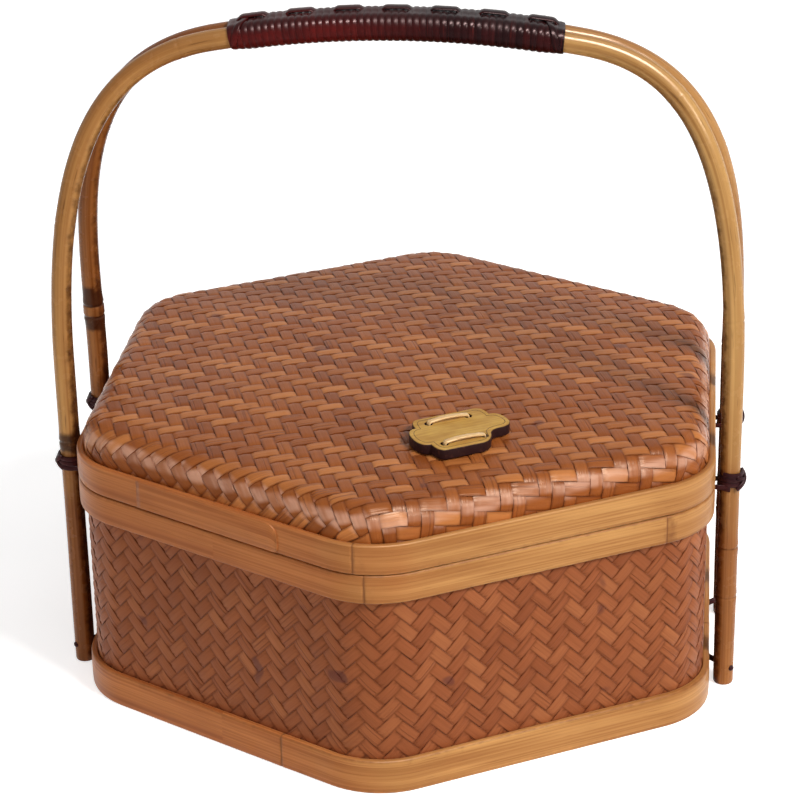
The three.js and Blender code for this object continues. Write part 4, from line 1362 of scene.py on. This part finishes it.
# %% Sweep the poles
POLE_STEP = 2.5 * MM
POLE_SIDES = 20
POLE_SHY = 0.12 * MM
POLE_WAVE = 0.06 * MM
POLE_WAVE_TURN = 70
JOINT_SWELL = 0.35 * MM
JOINT_SWELL_HALF = 2.6 * MM
JOINT_CUT = 1.3
JOINT_CUT_HALF = 0.5 * MM
JOINT_LINE_HALF = 0.55 * MM
JOINT_HALO = 0.3
JOINT_HALO_HALF = 4 * MM
FOOT_ROUND = 0.7 * MM
FOOT_INSETS = (0.2 * MM, 0.7 * MM)
NEAR_POLE_JOINT = (-1.6, -1, -0.5, 0, 0.5, 1, 1.6)
POLE_JOINTS = {
    "front": ((95, 0.9), (182, 0.1), (264, 0.1), (-37.7, 0.45), (-58.6, 0.45), (-150, 0.1), (-236, 0.1)),
    "back": ((38, 0.4), (124.6, 1), (129.6, 1), (212, 0.1), (-48, 0.4), (-118, 0.2), (-204, 0.1)),
}
POLE_STAINS = {
    "front": ((92.5, 97.5),),
    "back": ((119.5, 124.6), (130.2, 137)),
}
STAIN_FADE = 0.9 * MM
SCORCH_SHARE = 0.85
# Painted shade on the side of a pole that faces the basket.
INNER_SHADE_LEG = 0.8
INNER_SHADE_ARCH = 0.55
INNER_SHADE_GAIN = 1.6
INNER_SHADE_START = 0.35
LEG_SHADE_TOP = 40 * MM
LEG_SHADE_FADE = 50 * MM


def pole_places(length, joints):
    """Even places along a pole, with closer ones at each joint and at both feet."""
    places = set(np.arange(0, length, POLE_STEP).round(6)) | {round(length, 6)}
    for joint in joints:
        places |= {round(joint + offset * MM, 6) for offset in NEAR_POLE_JOINT}
    for inset in FOOT_INSETS:
        places |= {round(inset, 6), round(length - inset, 6)}
    return np.array(sorted(places))


def pole_marks(label, places, joint_marks, height, facing_in):
    """How dark a pole is: at its joints, where it is scorched, and with painted shade on the side facing the
    basket.
    """
    marks = joint_marks
    for low, high in POLE_STAINS[label]:
        outside = np.maximum(np.maximum(low * MM - places, places - high * MM), 0)
        marks = np.maximum(marks, SCORCH_SHARE * groove(outside, STAIN_FADE))
    # Painted shade on the side that faces the basket, stronger on the legs than on the arch.
    on_leg = np.clip((LID_TOP + LEG_SHADE_TOP - height) / LEG_SHADE_FADE, 0, 1)
    inner_shade_share = INNER_SHADE_ARCH + (INNER_SHADE_LEG - INNER_SHADE_ARCH) * on_leg
    inner = np.clip(facing_in * INNER_SHADE_GAIN - INNER_SHADE_START, 0, 1)
    return np.maximum(marks[:, None], inner_shade_share[:, None] * inner)


def round_edge(sides, radius):
    """Distances round a circle, from 0 to once round."""
    return np.arange(sides + 1) * 2 * math.pi / sides * radius


def make_pole(label):
    path, run = pole_path(label)
    length = run[-1]
    joints, strengths = np.array(POLE_JOINTS[label]).T
    joints = joints * MM % length
    places = pole_places(length, joints)
    centres = path_at(path, run, places)
    tangents = unit(np.gradient(centres, places, axis=0))
    sideways = unit(np.cross(tangents, np.array([0, 1.0, 0])))
    ahead = np.cross(sideways, tangents)
    away = places[:, None] - joints[None]
    shape = groove(away, JOINT_SWELL_HALF) - JOINT_CUT * groove(away, JOINT_CUT_HALF)
    swell = JOINT_SWELL * np.sum(shape * np.sqrt(strengths), axis=1)
    ends = corner_cut(np.minimum(places, length - places), FOOT_ROUND)
    swell = np.where(np.abs(centres[:, 0]) < GRIP_HALF, 0.0, swell)
    radius = POLE_RADIUS - POLE_SHY + swell - ends + POLE_WAVE * np.sin(places * POLE_WAVE_TURN)
    angle = round_edge(POLE_SIDES, 1)[:-1]
    spread = np.cos(angle)[None, :, None] * sideways[:, None] + np.sin(angle)[None, :, None] * ahead[:, None]
    grid = centres[:, None] + spread * radius[:, None, None]
    line = np.maximum(groove(away, JOINT_LINE_HALF), JOINT_HALO * groove(away, JOINT_HALO_HALF))
    facing_in = np.clip(-spread[:, :, 0] * np.sign(centres[:, :1]), 0, 1)
    marks = pole_marks(label, places, np.max(line * strengths, axis=1), centres[:, 2], facing_in)
    around = round_edge(POLE_SIDES, POLE_RADIUS)
    piece = grid_piece(f"pole_{label}", grid, places, around, False, pole_bamboo[label], marks)
    settle(piece, "basket", "bamboo_pole", f"handle_pole_{label}")


for label in ("front", "back"):
    make_pole(label)

# %% [markdown]
# ## Cane winding
# Flat cane is wound tightly round both poles to make the grip, and a few turns tie each leg to the
# rim. A tree winds one long thin box round any closed outline: the share of the box's length says
# which turn a point is on, and where round the outline. It winds along X, and the mesh is bent or
# turned into place afterwards.

# %% Tree of a winding


def build_winding_tree():
    inputs = {
        SHAPE: ["Geometry"],
        WHOLE: ["Steps", "Seed"],
        FLOAT: ["Turns", "Pitch", "Width", "Thickness", "Crown"],
        FINISH: ["Material"],
    }
    tree, given = new_group("cane_winding", "GeometryNodeTree", inputs, {"Geometry": SHAPE})
    curve, length = outline_of(given["Geometry"])
    mesh = marked_box(tree, given["Steps"], 5)
    u, v, w = parts_of(read_named(tree, "local", "FLOAT_VECTOR"))
    travel = (u + 0.5) * given["Turns"]
    middle, outward = place_on(curve, travel, (1, 0, 0))
    out = (w + 0.5) * given["Thickness"] + crown_of(v, w, given["Crown"])
    across = v * given["Width"]
    x = u * given["Turns"] * given["Pitch"] + across
    position = middle + outward * out + vector_of(x, 0.0, 0.0)
    tone = random_share(calc("FLOOR", travel), given["Seed"], 0.36, 0.64)
    finish_strips(mesh, position, vector_of(travel * length, across, 1.0), tone, given["Material"])
    return tree


def loop_mesh(name, radius, spread, steps):
    """A closed loop across X: a circle of that radius, or two half circles at plus and minus spread in Y."""
    corners = []
    for centre, start in ((spread, -math.pi / 2), (-spread, math.pi / 2)):
        for step in range(steps if spread == 0 else steps + 1):
            angle = start + math.pi * step / steps
            corners.append((0.0, centre + radius * math.cos(angle), radius * math.sin(angle)))
    return closed_line(name, corners)


def move_points(piece, rule):
    """Moves every point of a piece by a rule on an array of points."""
    moved = rule(mesh_points(piece.data).astype(float))
    piece.data.vertices.foreach_set("co", moved.astype(np.float32).ravel())
    piece.data.update()


winding_tree = build_winding_tree()
print("winding tree", len(winding_tree.nodes), "nodes")

# %% Wind the grip
GRIP_TURNS = 49
STEPS_IN_A_TURN = 34
GRIP_PITCH = 2.5 * MM
GRIP_WIDTH = 2.46 * MM
GRIP_THICKNESS = 0.9 * MM
GRIP_CANE_CROWN = 0.3 * MM
GRIP_GAP = 0.02 * MM
SPINE_HALF = 2.6 * MM
SPINE_THICKNESS = 0.35 * MM
SPINE_CROWN = 0.4 * MM
SPINE_LIFT = 0.35 * MM
SPINE_RISE = 0.45 * MM
SPINE_PERIOD = 7 * GRIP_PITCH
SPINE_Y = 2 * MM
GRIP_COVERED = GRIP_TURNS * GRIP_PITCH / 2
END_TAPER = 8 * MM
END_SHARE = 0.45

back_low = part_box("handle_pole_back")[0]
front_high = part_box("handle_pole_front")[1]
pole_spread = (back_low.y - front_high.y) / 2 + POLE_RADIUS
grip_y = (back_low.y + front_high.y) / 2
arch_height = front_high.z - POLE_RADIUS


def spine_level(x):
    """1 where the spine lies on top of the turns, 0 where it runs under them."""
    share = np.clip(np.cos(2 * math.pi * x / SPINE_PERIOD) * 0.9 + 0.75, 0, 1)
    return share * share * (3 - 2 * share)


def thin_the_ends(points):
    """The cane was shaved thin for the first and last turns."""
    level = np.clip(points[:, 1], -pole_spread, pole_spread)
    beside = points[:, 1] - level
    reach = np.hypot(beside, points[:, 2])
    to_end = np.clip((GRIP_COVERED - np.abs(points[:, 0])) / END_TAPER, 0, 1)
    wanted = POLE_RADIUS + (reach - POLE_RADIUS) * (END_SHARE + (1 - END_SHARE) * to_end)
    factor = wanted / reach
    return np.stack([points[:, 0], level + beside * factor, points[:, 2] * factor], axis=-1)


def bend_onto_grip(points):
    """Takes points round the X axis onto the arc of the grip."""
    angle = points[:, 0] / GRIP_ARC_RADIUS
    reach = GRIP_ARC_RADIUS + points[:, 2]
    x = reach * np.sin(angle)
    z = arch_height - GRIP_ARC_RADIUS + reach * np.cos(angle)
    return np.stack([x, points[:, 1] + grip_y, z], axis=-1)


def lift_over_spine(points):
    """Turns that cover the spine stand up over it."""
    beside = np.clip(1.6 - np.abs(points[:, 1] - SPINE_Y) / SPINE_HALF, 0, 1)
    above = points[:, 2] > 0
    lift = (1 - spine_level(points[:, 0])) * beside * SPINE_LIFT * above
    return points + lift[:, None] * np.array([0, 0, 1.0])


grip = grow(
    "grip_cane",
    loop_mesh("grip_loop", POLE_RADIUS + GRIP_GAP, pole_spread, 14),
    winding_tree,
    Steps=GRIP_TURNS * STEPS_IN_A_TURN,
    Turns=GRIP_TURNS,
    Pitch=GRIP_PITCH,
    Width=GRIP_WIDTH,
    Thickness=GRIP_THICKNESS,
    Crown=GRIP_CANE_CROWN,
    Material=grip_cane,
)
for rule in (lift_over_spine, thin_the_ends, bend_onto_grip):
    move_points(grip, rule)
settle(grip, "basket", "dark_cane", "grip_winding")

# %% [markdown]
# One broader strip runs lengthways along the top of the grip. It comes up over four turns and goes
# under three, again and again, which gives the row of low bumps along the grip. Two short straps
# cross the first and the last turns at a slant and hold the ends down.

# %% Flat straps
EVEN_TONE = 0.56


def strap_piece(name, centres, outward, width, thickness, crown, material, sides=7):
    """A flat strap along centres; outward is the direction of its thickness at each one."""
    centres = np.asarray(centres, float)
    run = distances(centres)[:-1]
    tangents = unit(np.gradient(centres, run, axis=0))
    outward = np.asarray(outward, float) * np.ones_like(centres)
    outward = unit(outward - tangents * np.sum(outward * tangents, axis=1)[:, None])
    across = np.cross(tangents, outward)
    share = np.linspace(-1, 1, sides)
    top = [(value * width / 2, thickness / 2 + crown * (1 - value**2)) for value in share]
    bottom = [(value * width / 2, -thickness / 2) for value in share[::-1]]
    section = np.array(top + bottom)
    grid = centres[:, None] + section[None, :, :1] * across[:, None] + section[None, :, 1:] * outward[:, None]
    around = distances(section)
    piece = grid_piece(name, grid, run, around, False, material)
    count = len(section)
    lay = np.zeros((len(centres), count, 3), np.float32)
    lay[:, :, 0] = run[:, None]
    lay[:, :, 1] = section[None, :, 0]
    lay[:, :, 2] = 1
    fill_attribute(piece.data, "lay", "FLOAT_VECTOR", lay)
    fill_attribute(piece.data, "tone", "FLOAT", np.full(len(centres) * count, EVEN_TONE))
    return piece


print("strap helper ready")

# %% Spine and end straps of the grip
GRIP_TOP = POLE_RADIUS + GRIP_THICKNESS
END_STRAP_INSET = 1.6 * MM
END_STRAP_RUN = 9.5 * MM
END_STRAP_REACH = 1.25
END_STRAP_LIFT = 0.2 * MM
END_STRAP_SIZES = (2.3 * MM, 0.6 * MM, 0.25 * MM)

spine_x = np.arange(-GRIP_COVERED + 2 * MM, GRIP_COVERED - 2 * MM, 0.6 * MM)
spine_rise = spine_level(spine_x) * (GRIP_THICKNESS + GRIP_CANE_CROWN + SPINE_RISE)
spine_z = POLE_RADIUS + SPINE_THICKNESS / 2 + spine_rise
spine_points = np.stack([spine_x, np.full_like(spine_x, SPINE_Y), spine_z], axis=-1)
spine_sizes = (2 * SPINE_HALF, SPINE_THICKNESS, SPINE_CROWN)
spine = strap_piece("grip_spine", spine_points, (0, 0, 1), *spine_sizes, grip_cane)
move_points(spine, bend_onto_grip)
settle(spine, "basket", "dark_cane")


def ring_point(share, radius):
    """Place and outward direction round the two poles, from the front (-1) over the top to the back (1)."""
    half_round = math.pi / 2 * radius
    travel = share * (pole_spread + half_round)
    level = float(np.clip(travel, -pole_spread, pole_spread))
    angle = (travel - level) / radius
    point = np.array([0.0, level + radius * math.sin(angle), radius * math.cos(angle)])
    return point, np.array([0.0, math.sin(angle), math.cos(angle)])


def make_end_strap(name, side):
    centres, outward = [], []
    for share in np.linspace(-END_STRAP_REACH, END_STRAP_REACH, 40):
        point, direction = ring_point(share, GRIP_TOP + GRIP_CANE_CROWN + END_STRAP_LIFT)
        inward = END_STRAP_INSET + END_STRAP_RUN * (share + END_STRAP_REACH) / (2 * END_STRAP_REACH)
        point[0] = side * (GRIP_COVERED - inward)
        centres.append(point)
        outward.append(direction)
    piece = strap_piece(name, centres, outward, *END_STRAP_SIZES, grip_cane)
    move_points(piece, thin_the_ends)
    move_points(piece, bend_onto_grip)
    settle(piece, "basket", "dark_cane")


make_end_strap("grip_end_strap_left", -1)
make_end_strap("grip_end_strap_right", 1)
print("spine and end straps made")

# %% [markdown]
# ## Ties and pegs
# Each leg is tied to the rim band with three turns of the same cane. Their two ends go straight
# into the band, one on each side of the leg, and a small knot sits on the outer side. A peg through
# the foot holds the leg to the base band.

# %% Tie the legs
TIE_TURNS = 3.1
TIE_STEPS_IN_A_TURN = 26
TIE_PITCH = 1.85 * MM
TIE_WIDTH = 1.75 * MM
TIE_THICKNESS = 0.75 * MM
TIE_CROWN = 0.3 * MM
TIE_SUNK = 0.05 * MM
LASHING_THICKNESS = 1.3 * MM
LEGS = ("front_left", "front_right", "back_left", "back_right")
KNOT_OUT = 1.1 * MM
KNOT_TURN = math.radians(14)
KNOT_RISE = 2.9 * MM
KNOT_SUNK = 0.5 * MM
KNOT_REACH = 0.8
KNOT_SLOPES = (1.0, -0.7)
KNOT_STEPS = 17
KNOT_SIZES = (1.7 * MM, 0.8 * MM, 0.3 * MM)
LINK_DROP = 2.2 * MM
LINK_THICKNESS = 0.6 * MM
LINK_DEPTH = 1.5 * MM
LINK_INWARD = 0.8 * MM
LINK_FALL = 0.4 * MM
LINK_SIZES = (TIE_WIDTH, LINK_THICKNESS, 0.15 * MM)


def leg_centre(label):
    """Middle of a leg's tie, and its side, from the lashing's own box."""
    low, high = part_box(f"leg_lashing_{label}")
    side = -1 if label.endswith("left") else 1
    edge = low.x if side < 0 else high.x
    x = edge - side * (POLE_RADIUS + LASHING_THICKNESS)
    return Vector((x, (low.y + high.y) / 2, (low.z + high.z) / 2)), side


def make_tie(label):
    centre, side = leg_centre(label)
    name = f"tie_{label}"
    piece = grow(
        name,
        loop_mesh(name, POLE_RADIUS - TIE_SUNK, 0.0, 12),
        winding_tree,
        Steps=int(TIE_TURNS * TIE_STEPS_IN_A_TURN),
        Turns=TIE_TURNS,
        Pitch=TIE_PITCH,
        Width=TIE_WIDTH,
        Thickness=TIE_THICKNESS,
        Crown=TIE_CROWN,
        Material=tie_cane,
    )

    def stand_up(points):
        """Turns the coil upright: X becomes height, and it starts on the side of the wall."""
        x, y, z = points.T
        return np.stack([centre.x - side * y, centre.y + side * z, centre.z + x], axis=-1)

    move_points(piece, stand_up)
    settle(piece, "basket", "dark_cane", f"leg_lashing_{label}")
    return centre, side


def make_knot(label, centre, side):
    """Two short strands crossed over the turns, where the ends were pulled tight."""
    facing = np.array([side * math.cos(KNOT_TURN), -math.sin(KNOT_TURN), 0.0])
    beside = np.array([-facing[1], facing[0], 0.0])
    for number, slope in enumerate(KNOT_SLOPES):
        centres, outward = [], []
        for share in np.linspace(-1, 1, KNOT_STEPS):
            turn = share * KNOT_REACH
            direction = facing * math.cos(turn) + beside * math.sin(turn)
            bulge = KNOT_OUT * (0.3 + 0.7 * math.cos(share * math.pi / 2)) * (1 - 0.3 * number)
            place = np.array([*centre]) + direction * (POLE_RADIUS + TIE_THICKNESS + bulge - KNOT_SUNK)
            place[2] += slope * share * KNOT_RISE
            centres.append(place)
            outward.append(direction)
        name = f"knot_{label}_{number + 1}"
        piece = strap_piece(name, centres, outward, *KNOT_SIZES, tie_cane)
        settle(piece, "basket", "dark_cane")


def make_links(label, centre, side):
    """The tie's two ends, one on each side of the leg, which go straight into the rim band."""
    height = min(centre.z - TIE_PITCH, RIM_TOP - LINK_DROP)
    for number, across in ((1, -1), (2, 1)):
        level = centre.y + across * (POLE_RADIUS + LINK_THICKNESS / 2)
        start = np.array([centre.x, level, height])
        inner_x = side * (HALF_WIDTH - LINK_DEPTH)
        inner = np.array([inner_x, level - across * LINK_INWARD, height - LINK_FALL])
        points = bezier([start, (start + inner) / 2, inner], 8)
        piece = strap_piece(f"link_{label}_{number}", points, (0, across, 0), *LINK_SIZES, tie_cane)
        settle(piece, "basket", "dark_cane")


for label in LEGS:
    centre, side = make_tie(label)
    make_knot(label, centre, side)
    make_links(label, centre, side)
print("legs tied")

# %% Pegs through the feet
PEG_RADIUS = 1.1 * MM
PEG_DOME = 0.5 * MM
PEG_DOME_ANGLES = (0.4, 0.8, 1.2, 1.45)
PEG_SIDES = 16


def make_peg(label):
    """A round peg with a domed head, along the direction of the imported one."""
    low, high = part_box(f"leg_pin_{label}")
    side = -1 if label.endswith("left") else 1
    back = 1 if label.startswith("back") else -1
    axis = Vector((side, back, 0)).normalized()
    middle = (low + high) / 2
    half = (high.x - low.x) / 2 / abs(axis.x) - PEG_RADIUS
    shoulder = half - PEG_DOME
    rings = [(-half, 0.6), (-half, 1.0), (shoulder, 1.0)]
    rings += [(shoulder + PEG_DOME * math.sin(angle), math.cos(angle)) for angle in PEG_DOME_ANGLES]
    sideways = Vector((0, 0, 1)).cross(axis)
    grid = np.zeros((len(rings), PEG_SIDES, 3))
    for row, (place, share) in enumerate(rings):
        for step in range(PEG_SIDES):
            angle = step * 2 * math.pi / PEG_SIDES
            spread = sideways * math.cos(angle) + Vector((0, 0, 1)) * math.sin(angle)
            grid[row, step] = middle + axis * place + spread * PEG_RADIUS * share
    along = np.array([place for place, _ in rings])
    around = round_edge(PEG_SIDES, PEG_RADIUS)
    piece = grid_piece(f"peg_{label}", grid, along, around, False, tie_cane)
    settle(piece, "basket", "dark_cane", f"leg_pin_{label}")


for label in LEGS:
    make_peg(label)
print("pegs made")

# %% [markdown]
# ## The plaque
# A small scalloped piece of light wood with burnt sides is sewn to the lid with two flat stitches.
# It is a flat shape with four holes, given thickness and soft edges by a bevelled curve, then made
# a mesh and laid on the crown of the lid. A thin line is burnt along its edge, and the middle is bare.

# %% Outline of the plaque
PLAQUE_HALF_LENGTH = 19.3 * MM
PLAQUE_HALF_WIDTH = 13.2 * MM
PLAQUE_SIDE_HALF = 11.3 * MM
PLAQUE_NOTCH = (14.9 * MM, 7 * MM)
COVE_START = 2.8 * MM
COVE_BEND = 6.6 * MM
COVE_MIDDLE = (9 * MM, 7.1 * MM)
COVE_TURN = 10.9 * MM
COVE_END = (13.7 * MM, 4.7 * MM)
PLAQUE_THICKNESS = 4.1 * MM
PLAQUE_SET_BACK = 43.5 * MM
PLAQUE_SHIFT = -12.8 * MM
STITCH_SPAN = 15.8 * MM
STITCH_ROW = 8.4 * MM
STITCH_SHIFTS = {"front": -2.3 * MM, "back": -1 * MM}
HOLE_RADIUS = 1.4 * MM
HOLE_SIDES = 20
CONTACT_GAP = 0.3 * MM
plaque_turn = SIXTH / 2


def plaque_outline(inset, steps=10):
    """Scalloped outline drawn in by inset, once round; a cove cuts the front right corner."""
    long = PLAQUE_HALF_LENGTH - inset
    wide = PLAQUE_HALF_WIDTH - inset
    side = PLAQUE_SIDE_HALF - inset * 0.4
    notch_x, notch_y = PLAQUE_NOTCH[0] - inset, PLAQUE_NOTCH[1] - inset * 0.8
    end_lobe = bezier([(long, 0), (long, notch_y), (notch_x, notch_y)], steps)
    side_lobe = bezier([(notch_x, notch_y), (notch_x, wide), (side, wide)], steps)
    quarter = chain(end_lobe, side_lobe)
    back_left = quarter[::-1] * np.array([-1, 1])
    front_left = quarter * np.array([-1, -1])
    cove_x, cove_y = COVE_MIDDLE[0] - inset * 0.8, -COVE_MIDDLE[1] + inset * 0.8
    end_x, end_y = COVE_END[0], -COVE_END[1] + inset
    cove = chain(
        bezier([(COVE_START, -wide), (COVE_BEND, -wide), (cove_x, cove_y)], steps),
        bezier([(cove_x, cove_y), (COVE_TURN - inset, end_y), (end_x, end_y)], steps),
        bezier([(end_x, end_y), (long, end_y), (long, 0)], steps),
    )
    return np.concatenate([quarter, back_left[:-1], front_left, cove[:-1]])


def lid_height_at(x, y):
    """Height of the lid's outer face over a place inside the shoulder."""
    furthest = max(abs(x * math.cos(turn) + y * math.sin(turn)) for turn in HEXAGON_FACES)
    return LID_TOP + SHOULDER_RISE + LID_CROWN * (1 - (furthest / lid_half_flat) ** 2)


plaque_outward = np.array([math.sin(plaque_turn), -math.cos(plaque_turn)])
plaque_along = np.array([math.cos(plaque_turn), math.sin(plaque_turn)])
plaque_place = plaque_outward * (HALF_WIDTH - PLAQUE_SET_BACK) + plaque_along * PLAQUE_SHIFT
outer_height = lid_height_at(*(plaque_place + plaque_outward * PLAQUE_HALF_WIDTH))
inner_height = lid_height_at(*(plaque_place - plaque_outward * PLAQUE_HALF_WIDTH))
plaque_tilt = math.atan2(inner_height - outer_height, 2 * PLAQUE_HALF_WIDTH)
plaque_matrix = (
    Matrix.Translation((*plaque_place, lid_height_at(*plaque_place) + CONTACT_GAP))
    @ Matrix.Rotation(plaque_turn, 4, "Z")
    @ Matrix.Rotation(plaque_tilt, 4, "X")
)
print("plaque at", plaque_place.round(4), "tilt", round(math.degrees(plaque_tilt), 2))

# %% Make the plaque
PLAQUE_EDGE = 0.45 * MM


def add_loop(curve, points):
    spline = curve.splines.new("POLY")
    spline.points.add(len(points) - 1)
    spline.points.foreach_set("co", [value for x, y in points for value in (x, y, 0.0, 1.0)])
    spline.use_cyclic_u = True


def make_plaque():
    curve = bpy.data.curves.new("plaque", "CURVE")
    curve.dimensions = "2D"
    curve.fill_mode = "BOTH"
    curve.extrude = PLAQUE_THICKNESS / 2 - PLAQUE_EDGE
    curve.bevel_depth = PLAQUE_EDGE
    curve.bevel_resolution = 2
    add_loop(curve, plaque_outline(PLAQUE_EDGE))
    turn = round_edge(HOLE_SIDES, 1)[:-1]
    for label, row in (("front", -STITCH_ROW), ("back", STITCH_ROW)):
        for end in (-STITCH_SPAN / 2, STITCH_SPAN / 2):
            ring = np.stack([np.cos(turn), np.sin(turn)], axis=-1) * (HOLE_RADIUS + PLAQUE_EDGE)
            add_loop(curve, ring + np.array([STITCH_SHIFTS[label] + end, row]))
    drawn = bpy.data.objects.new("plaque_curve", curve)
    mesh = bpy.data.meshes.new_from_object(drawn)
    mesh.name = "plaque_body"
    bpy.data.objects.remove(drawn)
    flat = mesh_points(mesh)
    layer = mesh.uv_layers.active or mesh.uv_layers.new(name="metres")
    places = [tuple(flat[loop.vertex_index][:2]) for loop in mesh.loops]
    layer.data.foreach_set("uv", np.array(places, np.float32).ravel())
    burn = np.clip((PLAQUE_THICKNESS / 2 - flat[:, 2]) / (PLAQUE_EDGE / 2), 0, 1)
    fill_attribute(mesh, "burn", "FLOAT", burn)
    mesh.transform(Matrix.Translation((0, 0, PLAQUE_THICKNESS / 2)))
    mesh.transform(plaque_matrix)
    mesh.materials.clear()
    mesh.materials.append(plaque_wood)
    make_smooth(mesh)
    piece = new_object("plaque_board", mesh)
    settle(piece, "lid", "plaque_wood", "plaque")
    return piece


board = make_plaque()
print("plaque", len(board.data.polygons), "faces")

# %% Border line and stitches of the plaque
BORDER_INSET = 1.7 * MM
BORDER_WIDTH = 0.22 * MM
BORDER_BURN = 0.8
STITCH_WIDTH = 2.2 * MM
STITCH_THICKNESS = 0.8 * MM
STITCH_CROWN = 0.25 * MM
STITCH_ARCH = 0.5 * MM
STITCH_BEND = 1.4 * MM
STITCH_FALL = 0.9 * MM
STITCH_FOOT = 0.4 * MM


def make_border():
    outline = plaque_outline(BORDER_INSET)
    points = np.concatenate([outline, np.full((len(outline), 1), PLAQUE_THICKNESS - 0.02 * MM)], axis=1)
    tangents = np.roll(points, -1, axis=0) - np.roll(points, 1, axis=0)
    tangents /= np.maximum(np.linalg.norm(tangents, axis=1)[:, None], 1e-9)
    across = np.cross(tangents, np.array([0, 0, 1.0]))
    grid = np.zeros((len(points), 4, 3))
    for column, (side, height) in enumerate(((-1, -1), (1, -1), (1, 1), (-1, 1))):
        grid[:, column] = points + across * side * BORDER_WIDTH / 2 + np.array([0, 0, height * 0.05 * MM])
    around = np.arange(5) * BORDER_WIDTH
    piece = grid_piece("plaque_border", grid, distances(points), around, True, plaque_wood)
    fill_attribute(piece.data, "burn", "FLOAT", np.full(len(piece.data.vertices), BORDER_BURN))
    piece.data.transform(plaque_matrix)
    settle(piece, "lid", "plaque_wood")


def make_stitch(label, row):
    """A flat strap that comes up through one hole, arches over the board and goes down the other."""
    half = STITCH_SPAN / 2
    inner = half - STITCH_BEND
    top = PLAQUE_THICKNESS + CONTACT_GAP + STITCH_THICKNESS / 2
    side = top - STITCH_FALL
    path = chain(
        bezier([(-half, STITCH_FOOT), (-half, side)], 5),
        bezier([(-half, side), (-half, top), (-inner, top)], 8),
        bezier([(-inner, top), (0, top + 2 * STITCH_ARCH), (inner, top)], 16),
        bezier([(inner, top), (half, top), (half, side)], 8),
        bezier([(half, side), (half, STITCH_FOOT)], 5),
    )
    centres = np.stack([path[:, 0] + STITCH_SHIFTS[label], np.full(len(path), row), path[:, 1]], axis=-1)
    ahead = np.gradient(centres, axis=0)
    outward = np.cross(ahead, np.array([0, 1.0, 0]))
    sizes = (STITCH_WIDTH, STITCH_THICKNESS * 0.7, STITCH_CROWN)
    piece = strap_piece(f"stitch_{label}", centres, outward, *sizes, gold_cane)
    piece.data.transform(plaque_matrix)
    settle(piece, "lid", "gold_cane", f"plaque_stitch_{label}")


make_border()
make_stitch("front", -STITCH_ROW)
make_stitch("back", STITCH_ROW)
print("plaque finished")

# %% [markdown]
# ## Floor, lights and world
# The photograph shows the basket on pure white. The floor is pale and keeps the soft shadow; a
# little of its own light, seen only by the camera and in reflections, brings it up to white. A
# broad key light stands in front, high and to the right, so the right face is the brighter one. A
# long narrow light overhead is seen only in the gloss: it draws the row of glints on the grip and
# the pale sheen on the lid's shoulder.

# %% Studio
FLOOR_REACH = 6.0
FLOOR_GLOW = 0.6


def seen_or_mirrored(tree):
    """1 for rays from the camera, in reflections and through glass, and 0 for the light on the basket."""
    path = outputs_of(add(tree, "ShaderNodeLightPath"))
    mirrored = calc("MAXIMUM", path["Is Glossy Ray"], path["Is Transmission Ray"])
    return calc("MAXIMUM", path["Is Camera Ray"], mirrored)


def make_floor():
    mesh = bpy.data.meshes.new("floor")
    corners = [(x * FLOOR_REACH, y * FLOOR_REACH, 0) for x, y in ((-1, -1), (1, -1), (1, 1), (-1, 1))]
    mesh.from_pydata(corners, [], [(0, 1, 2, 3)])
    material, tree, shader = new_material("white_floor", Roughness=0.9)
    shader.inputs["Base Color"].default_value = (0.86, 0.86, 0.86, 1)
    values = {"Color": (1, 1, 1, 1), "Strength": seen_or_mirrored(tree) * FLOOR_GLOW}
    glow = first_of(tree, "ShaderNodeEmission", values)
    both = first_of(tree, "ShaderNodeAddShader", {0: Field(shader.outputs[0]), 1: glow})
    tree.links.new(both.socket, tree.nodes["Material Output"].inputs["Surface"])
    mesh.materials.append(material)
    new_object("floor", mesh)


def make_lamp(name, place, size, energy, colour, only_gloss=False):
    lamp_data = bpy.data.lights.new(name, "AREA")
    lamp_data.shape = "RECTANGLE"
    lamp_data.size, lamp_data.size_y = size
    lamp_data.energy = energy
    lamp_data.color = colour
    lamp = new_object(name, lamp_data)
    lamp.location = place
    aim = Vector((0, 0, 0.1)) - Vector(place)
    lamp.rotation_euler = aim.to_track_quat("-Z", "Y").to_euler()
    lamp.visible_diffuse = not only_gloss


def make_world(ambient):
    world = bpy.data.worlds.new("studio")
    world.use_nodes = True
    tree = world.node_tree
    strength = seen_or_mirrored(tree) * (1 - ambient) + ambient
    background = tree.nodes["Background"]
    background.inputs["Color"].default_value = (1, 1, 1, 1)
    tree.links.new(strength.socket, background.inputs["Strength"])
    bpy.context.scene.world = world


make_floor()
make_lamp("key", (1.35, -1.05, 1.6), (0.55, 0.45), 40, (1.0, 0.98, 0.95))
make_lamp("fill", (-1.5, -0.9, 0.9), (1.2, 1.2), 2.5, (0.97, 0.98, 1.0))
# The gloss light's sheen on the lid's shoulder joins the pale sheen painted into the lid's strips.
make_lamp("gloss", (0.35, -0.62, 1.75), (0.9, 0.3), 130, (1.0, 0.95, 0.92), only_gloss=True)
make_world(0.34)
bpy.context.scene.view_settings.view_transform = "Standard"
print("studio ready")
